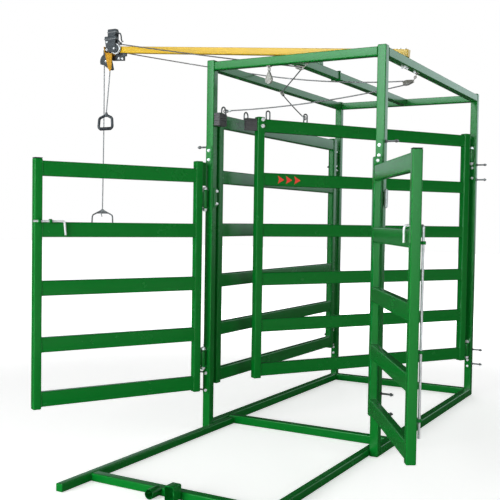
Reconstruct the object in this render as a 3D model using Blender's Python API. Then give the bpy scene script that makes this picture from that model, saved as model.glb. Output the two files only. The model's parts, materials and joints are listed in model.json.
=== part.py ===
# Cattle drafting gate: an overhead steel frame with two wing gates at its mouth, two long gates
# inside that swing from the back posts, and a pull boom with ropes and pulleys that work them.
# X runs across the mouth, Y from the mouth to the back, Z up. The origin is under the middle of
# the sill that ties the base rails just behind the front posts. All sizes are in metres.

import math

import bmesh
import bpy
from mathutils import Matrix, Vector

for old in list(bpy.data.objects):
    bpy.data.objects.remove(old, do_unlink=True)

# Frame
POST = 0.050
POST_H = 2.250
FRAME_W = 1.140
FRAME_L = 1.980
SILL_BACK = 0.259
TOP_RAIL = 0.050
TOP_RAIL_DROP = 0.010
BASE_RAIL = 0.050
TUBE_R = 0.005
GAP = 0.0003

# Skids ahead of the frame, their tie bar and the draw sockets on it
SKID = 0.040
SKID_REACH = 1.350
CROSS_FROM_END = 0.206
CROSS_DEEP = 0.050
SOCKET_X = 0.030
SOCKET_W = 0.052
SOCKET_TOP = 0.080
SOCKET_LONG = 0.068
SOCKET_WALL = 0.004
EYE_X = -0.080
EYE_R = 0.024

# Gates
RAIL_H = 0.082
RAIL_T = 0.040
RAIL_R = 0.007
END_OVER = 0.012
INNER_HEAD = 0.257
INNER_BOTTOM = 0.287
INNER_RAILS = 6
INNER_GROWTH = 0.0138
INNER_UPRIGHT = 0.050
INNER_START = 0.036
INNER_CLEAR = 0.030
WING_TOP = 1.592
WING_BOTTOM = 0.260
WING_RAILS = 5
WING_GROWTH = 0.0110
WING_UPRIGHT = 0.045
WING_START = 0.026
LEFT_END = 1.056
RIGHT_END = 0.966
SIDE_TURN = 270.0
LEFT_TURN = 242.3
RIGHT_TURN = 301.5
CENTRE_STANDOFF = 0.123

# Hinges: height of the middle above the gate's top or bottom, barrel, and plate below and above
SIDES = 12
PIN_R = 0.008
PIN_RUN = 0.0005
BARREL_R = 0.014
PIN_OUT = 0.035
PLATE_T = 0.006
LUG_T = 0.006
LUG_GAP = 0.002
STRAP_T = 0.012
STRAP_IN = 0.010
INNER_UPPER = (-0.146, 0.083, 0.197, 0.073)
INNER_LOWER = (0.064, 0.086, 0.151, 0.079)
WING_UPPER = (-0.181, 0.098, 0.066, 0.324)
WING_LOWER = (0.185, 0.090, 0.220, 0.085)
WING_PIN_IN = (0.020, 0.032)

# Slide bolt, drop rod and their guides
ROD_R = 0.006
ROD_RUN = 0.0006
GUIDE_R = 0.012
GUIDE_W = 0.014
BOLT_OUT = 0.010
BOLT_BACK = 0.165
BOLT_GUIDE = 0.085
BOLT_DOWN = 0.075
BEND = 0.012
DROP_BEND = 0.014
DROP_HOOK = 0.030
DROP_LOW = 0.360
DROP_GUIDE_OVER = 0.097
DROP_GUIDE_UNDER = 0.059

# Wire eyes on the gates, rubber stops
WIRE_R = 0.004
EYE_TALL = 0.058
SIDE_EYE = 0.056
CENTRE_EYE = 0.034
SIDE_EYES = (0.080, 0.360)
CENTRE_EYES = (0.084, 0.366)
STOP_LONG = 0.080
STOP_TALL = 0.076
STOP_THICK = 0.032
POST_STOP = 0.042
POST_STOP_PAST = 0.011

# Boom over the frame and the head at its end
BOOM = 0.044
BOOM_Y = 0.370
BOOM_LEFT = 1.540
BOOM_DEG = 5.461
HEAD_T = 0.006
CHEEK = 0.014
SHEAVE_R = 0.030
FRONT_SHEAVE = (0.0105, 0.0221)
REAR_SHEAVE = (-0.1225, 0.0060)
ROPE_R = 0.004
RUN = 0.0005

X_OUT = FRAME_W / 2
X_IN = X_OUT - POST
X_MID = X_OUT - POST / 2
Y_FRONT = -SILL_BACK
Y_BACK = Y_FRONT + FRAME_L
TOP_Z = POST_H - TOP_RAIL_DROP
RAIL_Z = TOP_Z - TOP_RAIL
INNER_TOP = RAIL_Z - INNER_HEAD
INNER_END = FRAME_L - 2 * POST - PIN_OUT - INNER_CLEAR
CENTRE_TURN = 270.0 - math.degrees(math.asin((2 * X_MID - CENTRE_STANDOFF) / INNER_END))

GREEN = (0.0, 0.13, 0.02)
YELLOW = (0.85, 0.48, 0.05)
ZINC = (0.60, 0.61, 0.62)
BLACK = (0.03, 0.035, 0.04)
DARK_STEEL = (0.22, 0.22, 0.23)
ROPE_GREY = (0.25, 0.25, 0.26)

collection = bpy.data.collections.new("cattle_drafting_gate")
bpy.context.scene.collection.children.link(collection)
helpers = bpy.data.collections.new("cutters")
bpy.context.scene.collection.children.link(helpers)
helpers.hide_render = True


def add(name, mesh, color, rough=0.45, metal=0.0):
    """Link a finished mesh as a named part with its own material."""
    mesh.name = name
    part = bpy.data.objects.new(name, mesh)
    collection.objects.link(part)
    mat = bpy.data.materials.new(name + "_mat")
    mat.use_nodes = True
    shader = mat.node_tree.nodes["Principled BSDF"]
    shader.inputs["Base Color"].default_value = (*color, 1.0)
    shader.inputs["Roughness"].default_value = rough
    shader.inputs["Metallic"].default_value = metal
    mesh.materials.clear()
    mesh.materials.append(mat)
    return part


def mesh_of(bm):
    """Turn a bmesh into mesh data with outward faces."""
    bmesh.ops.recalc_face_normals(bm, faces=bm.faces)
    mesh = bpy.data.meshes.new("m")
    bm.to_mesh(mesh)
    bm.free()
    return mesh


def block(x0, x1, y0, y1, z0, z1, round_r=0.0, segments=1):
    """A box between two corners, with its edges rounded."""
    bm = bmesh.new()
    bmesh.ops.create_cube(bm, size=1.0)
    bmesh.ops.scale(bm, vec=(x1 - x0, y1 - y0, z1 - z0), verts=bm.verts)
    bmesh.ops.translate(bm, vec=((x0 + x1) / 2, (y0 + y1) / 2, (z0 + z1) / 2), verts=bm.verts)
    if round_r > 0:
        bmesh.ops.bevel(bm, geom=bm.edges[:], offset=round_r, segments=segments, affect="EDGES",
                        profile=0.5)
    return mesh_of(bm)


def rod(p0, p1, r, sides=SIDES):
    """A round bar between two points."""
    a = Vector(p0)
    b = Vector(p1)
    bm = bmesh.new()
    bmesh.ops.create_cone(bm, cap_ends=True, segments=sides, radius1=r, radius2=r,
                          depth=(b - a).length)
    turn = (b - a).to_track_quat("Z", "Y").to_matrix().to_4x4()
    bmesh.ops.transform(bm, matrix=Matrix.Translation((a + b) / 2) @ turn, verts=bm.verts)
    return mesh_of(bm)


def sweep(points, r, resolution=2, cyclic=False):
    """A bent round bar, rope or wire through the given points."""
    curve = bpy.data.curves.new("c", "CURVE")
    curve.dimensions = "3D"
    curve.bevel_depth = r
    curve.bevel_resolution = resolution
    curve.use_fill_caps = True
    spline = curve.splines.new("POLY")
    spline.points.add(len(points) - 1)
    for i, p in enumerate(points):
        spline.points[i].co = (*p, 1.0)
    spline.use_cyclic_u = cyclic
    holder = bpy.data.objects.new("c", curve)
    bpy.context.scene.collection.objects.link(holder)
    mesh = bpy.data.meshes.new_from_object(holder)
    bpy.data.objects.remove(holder, do_unlink=True)
    bm = bmesh.new()
    bm.from_mesh(mesh)
    bmesh.ops.remove_doubles(bm, verts=bm.verts, dist=0.00001)
    return mesh_of(bm)


def arc(centre, r, start, end, steps, plane="xz"):
    """Points along an arc, in degrees."""
    out = []
    for i in range(steps + 1):
        a = math.radians(start + (end - start) * i / steps)
        u = r * math.cos(a)
        v = r * math.sin(a)
        if plane == "xz":
            out.append((centre[0] + u, centre[1], centre[2] + v))
        elif plane == "yz":
            out.append((centre[0], centre[1] + u, centre[2] + v))
        else:
            out.append((centre[0] + u, centre[1] + v, centre[2]))
    return out


def outline(points, low, high, upright=True):
    """A plate from a closed outline: upright in XZ with a thickness along Y, or level in XY."""
    bm = bmesh.new()
    corners = [(u, low, v) if upright else (u, v, low) for u, v in points]
    face = bm.faces.new([bm.verts.new(c) for c in corners])
    grown = bmesh.ops.extrude_face_region(bm, geom=[face])
    moved = [g for g in grown["geom"] if isinstance(g, bmesh.types.BMVert)]
    away = (0, high - low, 0) if upright else (0, 0, high - low)
    bmesh.ops.translate(bm, vec=away, verts=moved)
    return mesh_of(bm)


def boolean(base, others, operation="UNION"):
    """Join or cut meshes with the exact solver."""
    host = bpy.data.objects.new("b", base)
    helpers.objects.link(host)
    extra = []
    for i, mesh in enumerate(others):
        tool = bpy.data.objects.new("t", mesh)
        tool.display_type = "WIRE"
        tool.hide_render = True
        helpers.objects.link(tool)
        mod = host.modifiers.new("m%d" % i, "BOOLEAN")
        mod.operation = operation
        mod.solver = "EXACT"
        mod.object = tool
        extra.append(tool)
    bpy.context.view_layer.update()
    depsgraph = bpy.context.evaluated_depsgraph_get()
    result = bpy.data.meshes.new_from_object(host.evaluated_get(depsgraph))
    for tool in extra:
        bpy.data.objects.remove(tool, do_unlink=True)
    bpy.data.objects.remove(host, do_unlink=True)
    bm = bmesh.new()
    bm.from_mesh(result)
    bmesh.ops.remove_doubles(bm, verts=bm.verts, dist=0.00005)
    bmesh.ops.dissolve_degenerate(bm, edges=bm.edges, dist=0.00001)
    return mesh_of(bm)


def placed(mesh, matrix):
    """Move a mesh by a matrix."""
    mesh.transform(matrix)
    return mesh


def box_tube(x0, x1, y0, y1, z0, z1):
    """A square tube with rounded corners and closed ends."""
    return block(x0, x1, y0, y1, z0, z1, TUBE_R, 2)


# Posts
for side, sx in (("left", -1), ("right", 1)):
    for end, y0 in (("front", Y_FRONT), ("back", Y_BACK - POST)):
        xa, xb = sorted((sx * X_IN, sx * X_OUT))
        add("post_%s_%s" % (end, side), box_tube(xa, xb, y0, y0 + POST, 0.0, POST_H), GREEN)

# Top rails; the middle one is in two lengths joined by a pair of flange plates
FLANGE_Y = Y_FRONT + 0.634
FLANGE_OVER = 0.006
FLANGE_T = 0.012
for end, y0 in (("front", Y_FRONT), ("back", Y_BACK - POST)):
    add("top_rail_" + end,
        box_tube(-X_IN + GAP, X_IN - GAP, y0, y0 + TOP_RAIL, RAIL_Z, TOP_Z), GREEN)
for side, sx in (("left", -1), ("right", 1)):
    xa, xb = sorted((sx * X_IN, sx * X_OUT))
    add("top_rail_" + side,
        box_tube(xa, xb, Y_FRONT + POST + GAP, Y_BACK - POST - GAP, RAIL_Z, TOP_Z), GREEN)
HALF = TOP_RAIL / 2
middle = box_tube(-HALF, HALF, Y_FRONT + TOP_RAIL + GAP, Y_BACK - POST - GAP, RAIL_Z, TOP_Z)
flange = block(-HALF - FLANGE_OVER, HALF + FLANGE_OVER, FLANGE_Y - FLANGE_T / 2,
               FLANGE_Y + FLANGE_T / 2, RAIL_Z - FLANGE_OVER / 2, TOP_Z + FLANGE_OVER)
add("top_rail_middle", boolean(middle, [flange]), GREEN)

# Base rails and sill
for side, sx in (("left", -1), ("right", 1)):
    xa, xb = sorted((sx * X_IN, sx * X_OUT))
    add("base_rail_" + side,
        box_tube(xa, xb, Y_FRONT + POST + GAP, Y_BACK - POST - GAP, 0.0, BASE_RAIL), GREEN)
add("base_rail_back",
    box_tube(-X_IN + GAP, X_IN - GAP, Y_BACK - POST, Y_BACK, 0.0, BASE_RAIL), GREEN)
add("sill_middle",
    box_tube(-X_IN + GAP, X_IN - GAP, -BASE_RAIL / 2, BASE_RAIL / 2, 0.0, BASE_RAIL), GREEN)

# Skids, with the bar that ties them
SKID_OUT = X_IN - GAP
SKID_IN = SKID_OUT - SKID
SKID_END = Y_FRONT - SKID_REACH
for side, sx in (("left", -1), ("right", 1)):
    xa, xb = sorted((sx * SKID_IN, sx * SKID_OUT))
    add("skid_" + side, box_tube(xa, xb, SKID_END, -BASE_RAIL / 2 - GAP, 0.0, SKID), GREEN)
CROSS_Y0 = SKID_END + CROSS_FROM_END
add("skid_cross_bar",
    box_tube(-SKID_IN + GAP, SKID_IN - GAP, CROSS_Y0, CROSS_Y0 + CROSS_DEEP, 0.0, SKID), GREEN)

# Draw sockets on the front of the tie bar: a square tube and a round one, both open ahead
DRAW_Y1 = CROSS_Y0 - GAP
DRAW_Y0 = DRAW_Y1 - SOCKET_LONG
shell = block(SOCKET_X - SOCKET_W / 2, SOCKET_X + SOCKET_W / 2, DRAW_Y0, DRAW_Y1,
              SOCKET_TOP - SOCKET_W - SKID / 2, SOCKET_TOP, TUBE_R)
hollow = block(SOCKET_X - SOCKET_W / 2 + SOCKET_WALL, SOCKET_X + SOCKET_W / 2 - SOCKET_WALL,
               DRAW_Y0 - SOCKET_WALL, DRAW_Y1 - SOCKET_WALL,
               SOCKET_TOP - SOCKET_W - SKID / 2 + SOCKET_WALL, SOCKET_TOP - SOCKET_WALL)
add("hitch_bracket", boolean(shell, [hollow], "DIFFERENCE"), GREEN)
ring = rod((EYE_X, DRAW_Y0, EYE_R), (EYE_X, DRAW_Y1, EYE_R), EYE_R, 2 * SIDES)
bore = rod((EYE_X, DRAW_Y0 - SOCKET_WALL, EYE_R), (EYE_X, DRAW_Y1 - SOCKET_WALL, EYE_R),
           EYE_R - SOCKET_WALL, 2 * SIDES)
add("hitch_socket", boolean(ring, [bore], "DIFFERENCE"), DARK_STEEL, 0.5, 0.6)


# Gates
def rail_tops(top, bottom, count, growth):
    """Top heights of a gate's rails from the lowest up; each gap is a little more than the last."""
    first = bottom + RAIL_H
    step = (top - first) / (count - 1) - growth * (count - 2) / 2
    return [first + i * step + growth * i * (i - 1) / 2 for i in range(count)]


def gate(length0, length1, tops, bottom, upright):
    """A gate panel along +X, with uprights at both ends and a rail under each given height."""
    top = tops[-1] + END_OVER
    low = bottom - END_OVER
    half = upright / 2
    near = block(length0, length0 + upright, -half, half, low, top, TUBE_R, 2)
    parts = [block(length1 - upright, length1, -half, half, low, top, TUBE_R, 2)]
    for z in tops:
        parts.append(block(length0 + half, length1 - half, -RAIL_T / 2, RAIL_T / 2, z - RAIL_H, z,
                           RAIL_R, 2))
    return near, parts


def hinge_heights(upper, lower, tops, bottom):
    """Middle, barrel length and plate ends of a gate's two hinges."""
    out = []
    for (rise, tall, below, above), base in ((upper, tops[-1]), (lower, bottom)):
        out.append((base + rise, tall, base + rise - below, base + rise + above))
    return out


def barrels(hinges, start):
    """Hinge barrels round the pin at the gate's end, with a strap to its upright."""
    out = []
    bores = []
    for centre, tall, low, high in hinges:
        out.append(rod((0, 0, centre - tall / 2), (0, 0, centre + tall / 2), BARREL_R))
        out.append(block(BARREL_R / 3, start + BARREL_R / 2, -STRAP_T / 2, STRAP_T / 2,
                         centre - tall / 2 + STRAP_IN, centre + tall / 2 - STRAP_IN))
        bores.append(rod((0, 0, centre - tall), (0, 0, centre + tall), PIN_R + PIN_RUN))
    return out, bores


def wire_eye(middle, width, top):
    """A bent wire eye on a gate's top rail, along the gate."""
    half = width / 2 - WIRE_R
    foot = top - 2 * WIRE_R
    crown = top + EYE_TALL - WIRE_R
    path = [(middle - half, 0.0, foot)]
    path += arc((middle, 0.0, crown - half), half, 180, 0, 8)
    path += [(middle + half, 0.0, foot)]
    return sweep(path, WIRE_R, 1)


def hung(pin, degrees):
    """Places a gate from its own frame at its hinge pin."""
    return Matrix.Translation((*pin, 0.0)) @ Matrix.Rotation(math.radians(degrees), 4, "Z")


def make_gate(name, pin, degrees, start, end, tops, bottom, upright, hinges, extra=(), holes=()):
    near, parts = gate(start, end, tops, bottom, upright)
    sleeves, bores = barrels(hinges, start)
    mesh = boolean(near, parts + sleeves + list(extra))
    mesh = boolean(mesh, bores + list(holes), "DIFFERENCE")
    return add(name, placed(mesh, hung(pin, degrees)), GREEN)


LEFT_PIN = (-X_OUT + WING_PIN_IN[0], Y_FRONT - PIN_OUT)
RIGHT_PIN = (X_OUT - WING_PIN_IN[1], Y_FRONT - PIN_OUT)
SIDE_PIN = (-X_MID, Y_BACK - POST - PIN_OUT)
CENTRE_PIN = (X_MID, Y_BACK - POST - PIN_OUT)
INNER_TOPS = rail_tops(INNER_TOP, INNER_BOTTOM, INNER_RAILS, INNER_GROWTH)
WING_TOPS = rail_tops(WING_TOP, WING_BOTTOM, WING_RAILS, WING_GROWTH)
INNER_HINGES = hinge_heights(INNER_UPPER, INNER_LOWER, INNER_TOPS, INNER_BOTTOM)
WING_HINGES = hinge_heights(WING_UPPER, WING_LOWER, WING_TOPS, WING_BOTTOM)
LATCH_RAIL = WING_TOPS[-2]
HALF_UPRIGHT = WING_UPRIGHT / 2

# Slide bolt along the left wing's second rail
BOLT_SIDE = HALF_UPRIGHT + 0.0095
BOLT_Z = LATCH_RAIL + 0.004
BOLT_TURN = LEFT_END - BOLT_BACK + BEND
bolt_path = [(LEFT_END + BOLT_OUT, BOLT_SIDE, BOLT_Z)]
bolt_path += arc((BOLT_TURN, BOLT_SIDE, BOLT_Z - BEND), BEND, 90, 180, 6)
bolt_path += [(BOLT_TURN - BEND - ROD_R, BOLT_SIDE, BOLT_Z - BOLT_DOWN)]
bolt_mesh = sweep(bolt_path, ROD_R, 3)
add("left_slide_bolt", placed(bolt_mesh, hung(LEFT_PIN, LEFT_TURN)), ZINC, 0.4, 0.8)
bolt_guides = []
bolt_holes = []
for t, face in ((LEFT_END - HALF_UPRIGHT, HALF_UPRIGHT), (LEFT_END - BOLT_GUIDE, RAIL_T / 2)):
    bolt_guides.append(rod((t - GUIDE_W / 2, BOLT_SIDE, BOLT_Z), (t + GUIDE_W / 2, BOLT_SIDE, BOLT_Z),
                           GUIDE_R))
    bolt_guides.append(block(t - GUIDE_W / 2, t + GUIDE_W / 2, face - WIRE_R, BOLT_SIDE,
                             BOLT_Z - GUIDE_R, BOLT_Z + ROD_R / 3))
    bolt_holes.append(rod((t - GUIDE_W, BOLT_SIDE, BOLT_Z), (t + GUIDE_W, BOLT_SIDE, BOLT_Z),
                          ROD_R + ROD_RUN))
make_gate("left_wing_gate", LEFT_PIN, LEFT_TURN, WING_START, LEFT_END, WING_TOPS, WING_BOTTOM,
          WING_UPRIGHT, WING_HINGES, bolt_guides, bolt_holes)

# Drop rod down the right wing's free upright, hooked over its second rail
DROP_SIDE = HALF_UPRIGHT + 0.0135
DROP_T = RIGHT_END - HALF_UPRIGHT
DROP_TOP = LATCH_RAIL + DROP_BEND
HOOK_T = RIGHT_END - WING_UPRIGHT - DROP_HOOK
drop_path = [(DROP_T, DROP_SIDE, DROP_LOW)]
drop_path += arc((DROP_T - DROP_BEND, DROP_SIDE, DROP_TOP - DROP_BEND), DROP_BEND, 0, 90, 6)
drop_path += arc((HOOK_T + DROP_BEND, DROP_SIDE - DROP_BEND, DROP_TOP), DROP_BEND, 90, 180, 6, "xy")
drop_path += arc((HOOK_T, -DROP_SIDE + DROP_BEND, DROP_TOP - DROP_BEND), DROP_BEND, 90, 180, 6, "yz")
drop_path += [(HOOK_T, -DROP_SIDE, DROP_TOP - BOLT_DOWN)]
drop_mesh = sweep(drop_path, ROD_R, 3)
add("right_drop_rod", placed(drop_mesh, hung(RIGHT_PIN, RIGHT_TURN)), ZINC, 0.4, 0.8)
drop_guides = []
drop_holes = []
for z in (WING_TOPS[0] + DROP_GUIDE_OVER, WING_TOPS[1] + DROP_GUIDE_OVER,
          LATCH_RAIL - DROP_GUIDE_UNDER):
    drop_guides.append(rod((DROP_T, DROP_SIDE, z - GUIDE_W / 2), (DROP_T, DROP_SIDE, z + GUIDE_W / 2),
                           GUIDE_R))
    drop_guides.append(block(DROP_T - GUIDE_R, DROP_T + GUIDE_R, HALF_UPRIGHT - WIRE_R, DROP_SIDE,
                             z - GUIDE_W / 2, z + GUIDE_W / 2))
    drop_holes.append(rod((DROP_T, DROP_SIDE, z - GUIDE_W), (DROP_T, DROP_SIDE, z + GUIDE_W),
                          ROD_R + ROD_RUN))
make_gate("right_wing_gate", RIGHT_PIN, RIGHT_TURN, WING_START, RIGHT_END, WING_TOPS, WING_BOTTOM,
          WING_UPRIGHT, WING_HINGES, drop_guides, drop_holes)

# The two long gates, with wire eyes for the ropes
side_eyes = [wire_eye(INNER_END - back, SIDE_EYE, INNER_TOP) for back in SIDE_EYES]
centre_eyes = [wire_eye(INNER_END - back, CENTRE_EYE, INNER_TOP) for back in CENTRE_EYES]
make_gate("side_gate", SIDE_PIN, SIDE_TURN, INNER_START, INNER_END, INNER_TOPS, INNER_BOTTOM,
          INNER_UPRIGHT, INNER_HINGES, side_eyes)
make_gate("centre_gate", CENTRE_PIN, CENTRE_TURN, INNER_START, INNER_END, INNER_TOPS, INNER_BOTTOM,
          INNER_UPRIGHT, INNER_HINGES, centre_eyes)

# Rubber stops: one on the centre gate's end, one on the left front post for the side gate
STOP_Z1 = INNER_TOP
STOP_Z0 = STOP_Z1 - STOP_TALL
buffer = block(INNER_END + GAP, INNER_END + STOP_LONG, -STOP_THICK / 2, STOP_THICK / 2, STOP_Z0,
               STOP_Z1, RAIL_R, 2)
add("centre_gate_stop", placed(buffer, hung(CENTRE_PIN, CENTRE_TURN)), BLACK, 0.8)
add("side_post_stop",
    block(-X_IN + GAP, -X_IN + POST_STOP, Y_FRONT + TUBE_R,
          SIDE_PIN[1] - INNER_END + POST_STOP_PAST, STOP_Z0, STOP_Z1, RAIL_R, 2), BLACK, 0.8)


# Hinge brackets on the posts: plate, two lugs each, and the pin through them
def bracket(name, pin, post_y, hinges, x_plate):
    back = post_y - GAP
    for step, (centre, tall, low, high) in zip(("upper", "lower"), hinges):
        half = POST / 2 - TUBE_R
        plate = block(x_plate - half, x_plate + half, back - PLATE_T, back, low, high)
        lugs = []
        for sign in (-1, 1):
            z0 = centre + sign * (tall / 2 + LUG_GAP + LUG_T / 2) - LUG_T / 2
            nose = [(x, y) for x, y, z in arc((*pin, 0.0), BARREL_R, 180, 360, 7, "xy")]
            root = [(pin[0] + BARREL_R, back - PLATE_T / 2), (pin[0] - BARREL_R, back - PLATE_T / 2)]
            lugs.append(outline(nose + root, z0, z0 + LUG_T, upright=False))
        reach = tall / 2 + LUG_GAP + LUG_T + PIN_R
        bolt = rod((*pin, centre - reach), (*pin, centre + reach), PIN_R)
        add(name + "_" + step, boolean(plate, lugs + [bolt]), GREEN)


bracket("hinge_bracket_front_left", LEFT_PIN, Y_FRONT, WING_HINGES, -X_MID)
bracket("hinge_bracket_front_right", RIGHT_PIN, Y_FRONT, WING_HINGES, X_MID)
bracket("hinge_bracket_back_left", SIDE_PIN, Y_BACK - POST, INNER_HINGES, -X_MID)
bracket("hinge_bracket_back_right", CENTRE_PIN, Y_BACK - POST, INNER_HINGES, X_MID)


# Boom that slopes up to the left, bolted on the right top rail
TILT = math.radians(BOOM_DEG)


def boom_z(x):
    """Underside of the boom at a place across the frame."""
    return TOP_Z + GAP + math.tan(TILT) * (X_OUT - x)


BOOM_YC = Y_FRONT + BOOM_Y
BOOM_Y0 = BOOM_YC - BOOM / 2
BOOM_Y1 = BOOM_YC + BOOM / 2
boom_mesh = block(-(X_OUT + BOOM_LEFT) / math.cos(TILT), 0.0, -BOOM / 2, BOOM / 2, 0.0, BOOM, 0.004, 2)
BOOM_AT = Matrix.Translation((X_OUT, BOOM_YC, boom_z(X_OUT))) @ Matrix.Rotation(TILT, 4, "Y")
add("boom", placed(boom_mesh, BOOM_AT), YELLOW)
SADDLE = HALF - 0.003
add("boom_saddle",
    outline([(-SADDLE, TOP_Z + GAP), (SADDLE, TOP_Z + GAP), (SADDLE, boom_z(SADDLE) - GAP),
             (-SADDLE, boom_z(-SADDLE) - GAP)], BOOM_Y0 + 0.003, BOOM_Y1 - 0.003), GREEN)

# Boom head. Its places are offsets from the lower corner of the boom's end: x to the right, z up.
END_X = -BOOM_LEFT - BOOM * math.sin(TILT)
END_Z = boom_z(-BOOM_LEFT)


def head(points):
    """Outline points given from the boom's end corner."""
    return [(END_X + x, END_Z + z) for x, z in points]


def disc(centre, r, y0, y1, sides=24):
    """A round disc with its axis along Y."""
    return rod((centre[0], y0, centre[1]), (centre[0], y1, centre[1]), r, sides)


# Yellow head plate: a slanting end plate, a pointed web in front of it and a web to the boom's end
HEAD_Y0 = BOOM_Y0
HEAD_Y1 = BOOM_Y0 + HEAD_T
HEAD_BACK = BOOM_Y1 - 0.002
WEB_Y0 = BOOM_Y0 - 0.0325
EDGE_TOP = (-0.0863, 0.0428)
EDGE_LOW = (-0.0440, -0.1120)
HALF_T = HEAD_T / 2
slant = head([(EDGE_TOP[0] - HALF_T, EDGE_TOP[1]), (EDGE_TOP[0] + HALF_T, EDGE_TOP[1]),
              (EDGE_LOW[0] + HALF_T, EDGE_LOW[1]), (EDGE_LOW[0] - HALF_T, EDGE_LOW[1])])
point = head([(-0.068, -0.002), (-0.0144, -0.010), (-0.0154, -0.069), (-0.0183, -0.106),
              (-0.0282, -0.1310), (-0.0360, -0.1290), (EDGE_LOW[0], EDGE_LOW[1] + HALF_T)])
web = head([(-GAP, 0.044), (-GAP, 0.002), (-0.020, -0.020), (-0.0655, -0.030),
            (EDGE_TOP[0], EDGE_TOP[1] - HALF_T)])
add("boom_head_plate",
    boolean(outline(slant, WEB_Y0, HEAD_Y1), [outline(point, WEB_Y0, WEB_Y0 + HEAD_T),
                                                outline(web, HEAD_Y0, HEAD_Y1)]), YELLOW)


def sheave_block(name, centre, y0, cheek, cover, cuts):
    """A black pulley block: two cheeks, the sheave between them and a cover over the top."""
    slot = 2 * (ROPE_R + 0.002)
    y1 = y0 + CHEEK
    y2 = y1 + slot
    y3 = y2 + CHEEK
    near = outline(head(cheek), y0, y1 - cuts[0])
    parts = [outline(head(cheek), y2 + cuts[1], y3)]
    parts.append(disc(centre, SHEAVE_R, y0 + ROPE_R, y3 - ROPE_R, 20))
    x0, x1, z0, z1 = cover
    parts.append(block(END_X + x0, END_X + x1, y0 - 0.001, y3 - ROPE_R, END_Z + z0, END_Z + z1, 0.004))
    add(name, boolean(near, parts), BLACK, 0.6)
    return (y1 + y2) / 2


FRONT_C = (END_X + FRONT_SHEAVE[0], END_Z + FRONT_SHEAVE[1])
REAR_C = (END_X + REAR_SHEAVE[0], END_Z + REAR_SHEAVE[1])
BLOCK_DEEP = 2 * CHEEK + 2 * (ROPE_R + 0.002)
FRONT_Y = sheave_block("boom_head_block_front", FRONT_C, HEAD_Y0 - GAP - BLOCK_DEEP,
                       [(-0.054, 0.0), (0.018, 0.0), (0.021, 0.098), (-0.072, 0.098)],
                       (-0.0755, 0.0225, 0.086, 0.1090), (0.008, 0.0))
DRUM_Y0 = HEAD_Y1 + GAP
DRUM_C = (-0.0975, -0.0495)
DRUM_R = 0.053
drum = head([(DRUM_C[0] + DRUM_R * math.cos(a), DRUM_C[1] + DRUM_R * math.sin(a))
             for a in [math.radians(68 + 134 * i / 10) for i in range(11)]]
            + [(-0.126, -0.0700), (-0.0660, -0.1130), (-0.0500, -0.1090)])
add("boom_head_block_drum", outline(drum, DRUM_Y0, HEAD_BACK), BLACK, 0.6)
REAR_Y = sheave_block("boom_head_block_rear", REAR_C, HEAD_BACK + GAP,
                      [(-0.150, -0.030), (-0.076, -0.030), (-0.0450, 0.050), (-0.0450, 0.170),
                       (-0.1130, 0.170), (-0.1130, 0.060), (-0.150, 0.036)],
                      (-0.1155, -0.0420, 0.153, 0.1800), (0.0, 0.008))
foot_x = (END_X - 0.0390, END_X + 0.0639, END_X + 0.0802)
foot = [(foot_x[0], END_Z - 0.0519), (foot_x[1], END_Z - 0.0588), (foot_x[1], END_Z - 0.0290),
        (foot_x[2], END_Z - 0.0290), (foot_x[2], boom_z(foot_x[2]) - GAP),
        (foot_x[0], boom_z(foot_x[0]) - GAP)]
add("boom_head_block_foot", outline(foot, DRUM_Y0, DRUM_Y0 + CHEEK), BLACK, 0.6)


# Pulleys under the top rails
def pulley(name, centre, axis, arm, anchor, pad, r):
    """A sheave between two cheeks, with a link to a pad on the rail that carries it."""
    n = Vector(axis).normalized()
    d = (Vector(arm) - Vector(arm).dot(n) * n).normalized()
    frame = Matrix((d, n.cross(d), n)).transposed().to_4x4()
    frame.translation = Vector(centre)
    inner = ROPE_R + RUN
    cheek = inner + 0.0035
    groove = r - ROPE_R - RUN
    near = rod((0, 0, -cheek), (0, 0, -inner), r + ROPE_R, SIDES)
    parts = [rod((0, 0, inner), (0, 0, cheek), r + ROPE_R, SIDES)]
    parts.append(rod((0, 0, RUN - cheek), (0, 0, cheek - RUN), groove))
    reach = 2.1 * r + ROPE_R
    for z0, z1 in ((-cheek + RUN, -inner), (inner, cheek - RUN)):
        parts.append(block(0.0, reach, -r * 0.55, r * 0.55, z0, z1))
    parts.append(block(r + 2 * ROPE_R + 2 * RUN, reach + RUN, -r * 0.5, r * 0.5, -cheek + 2 * RUN,
                       cheek - 2 * RUN))
    body = placed(boolean(near, parts), frame)
    start = Vector(centre) + d * (reach - 2 * RUN)
    end = Vector(anchor)
    link = rod(start, end, WIRE_R, SIDES // 2)
    return add(name, boolean(body, [link, block(*pad)]), ZINC, 0.4, 0.8)


def between(a, b, sag, steps):
    """Points between two ends of a run, hanging down by the sag in its middle."""
    out = []
    for i in range(1, steps):
        t = i / steps
        out.append(Vector(a).lerp(Vector(b), t) - Vector((0, 0, 4 * sag * t * (1 - t))))
    return out


def turn(centre, axis, r, first, last, steps=8):
    """Points of a rope round a sheave, from one outward direction to another."""
    n = Vector(axis).normalized()
    a = Vector(first)
    a = (a - a.dot(n) * n).normalized()
    b = Vector(last)
    b = (b - b.dot(n) * n).normalized()
    if a.cross(b).dot(n) < 0:
        n = -n
    swing = a.angle(b) / steps
    return [Vector(centre) + (Matrix.Rotation(swing * i, 3, n) @ a) * r for i in range(steps + 1)]


def bend_round(centre, r, before, after):
    """Axis of a sheave that lies in the plane of its rope's two runs, and the rope round it."""
    come = (Vector(before) - Vector(centre)).normalized()
    go = (Vector(after) - Vector(centre)).normalized()
    axis = come.cross(go).normalized()
    return axis, turn(centre, axis, r, come.cross(axis), axis.cross(go))


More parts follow.
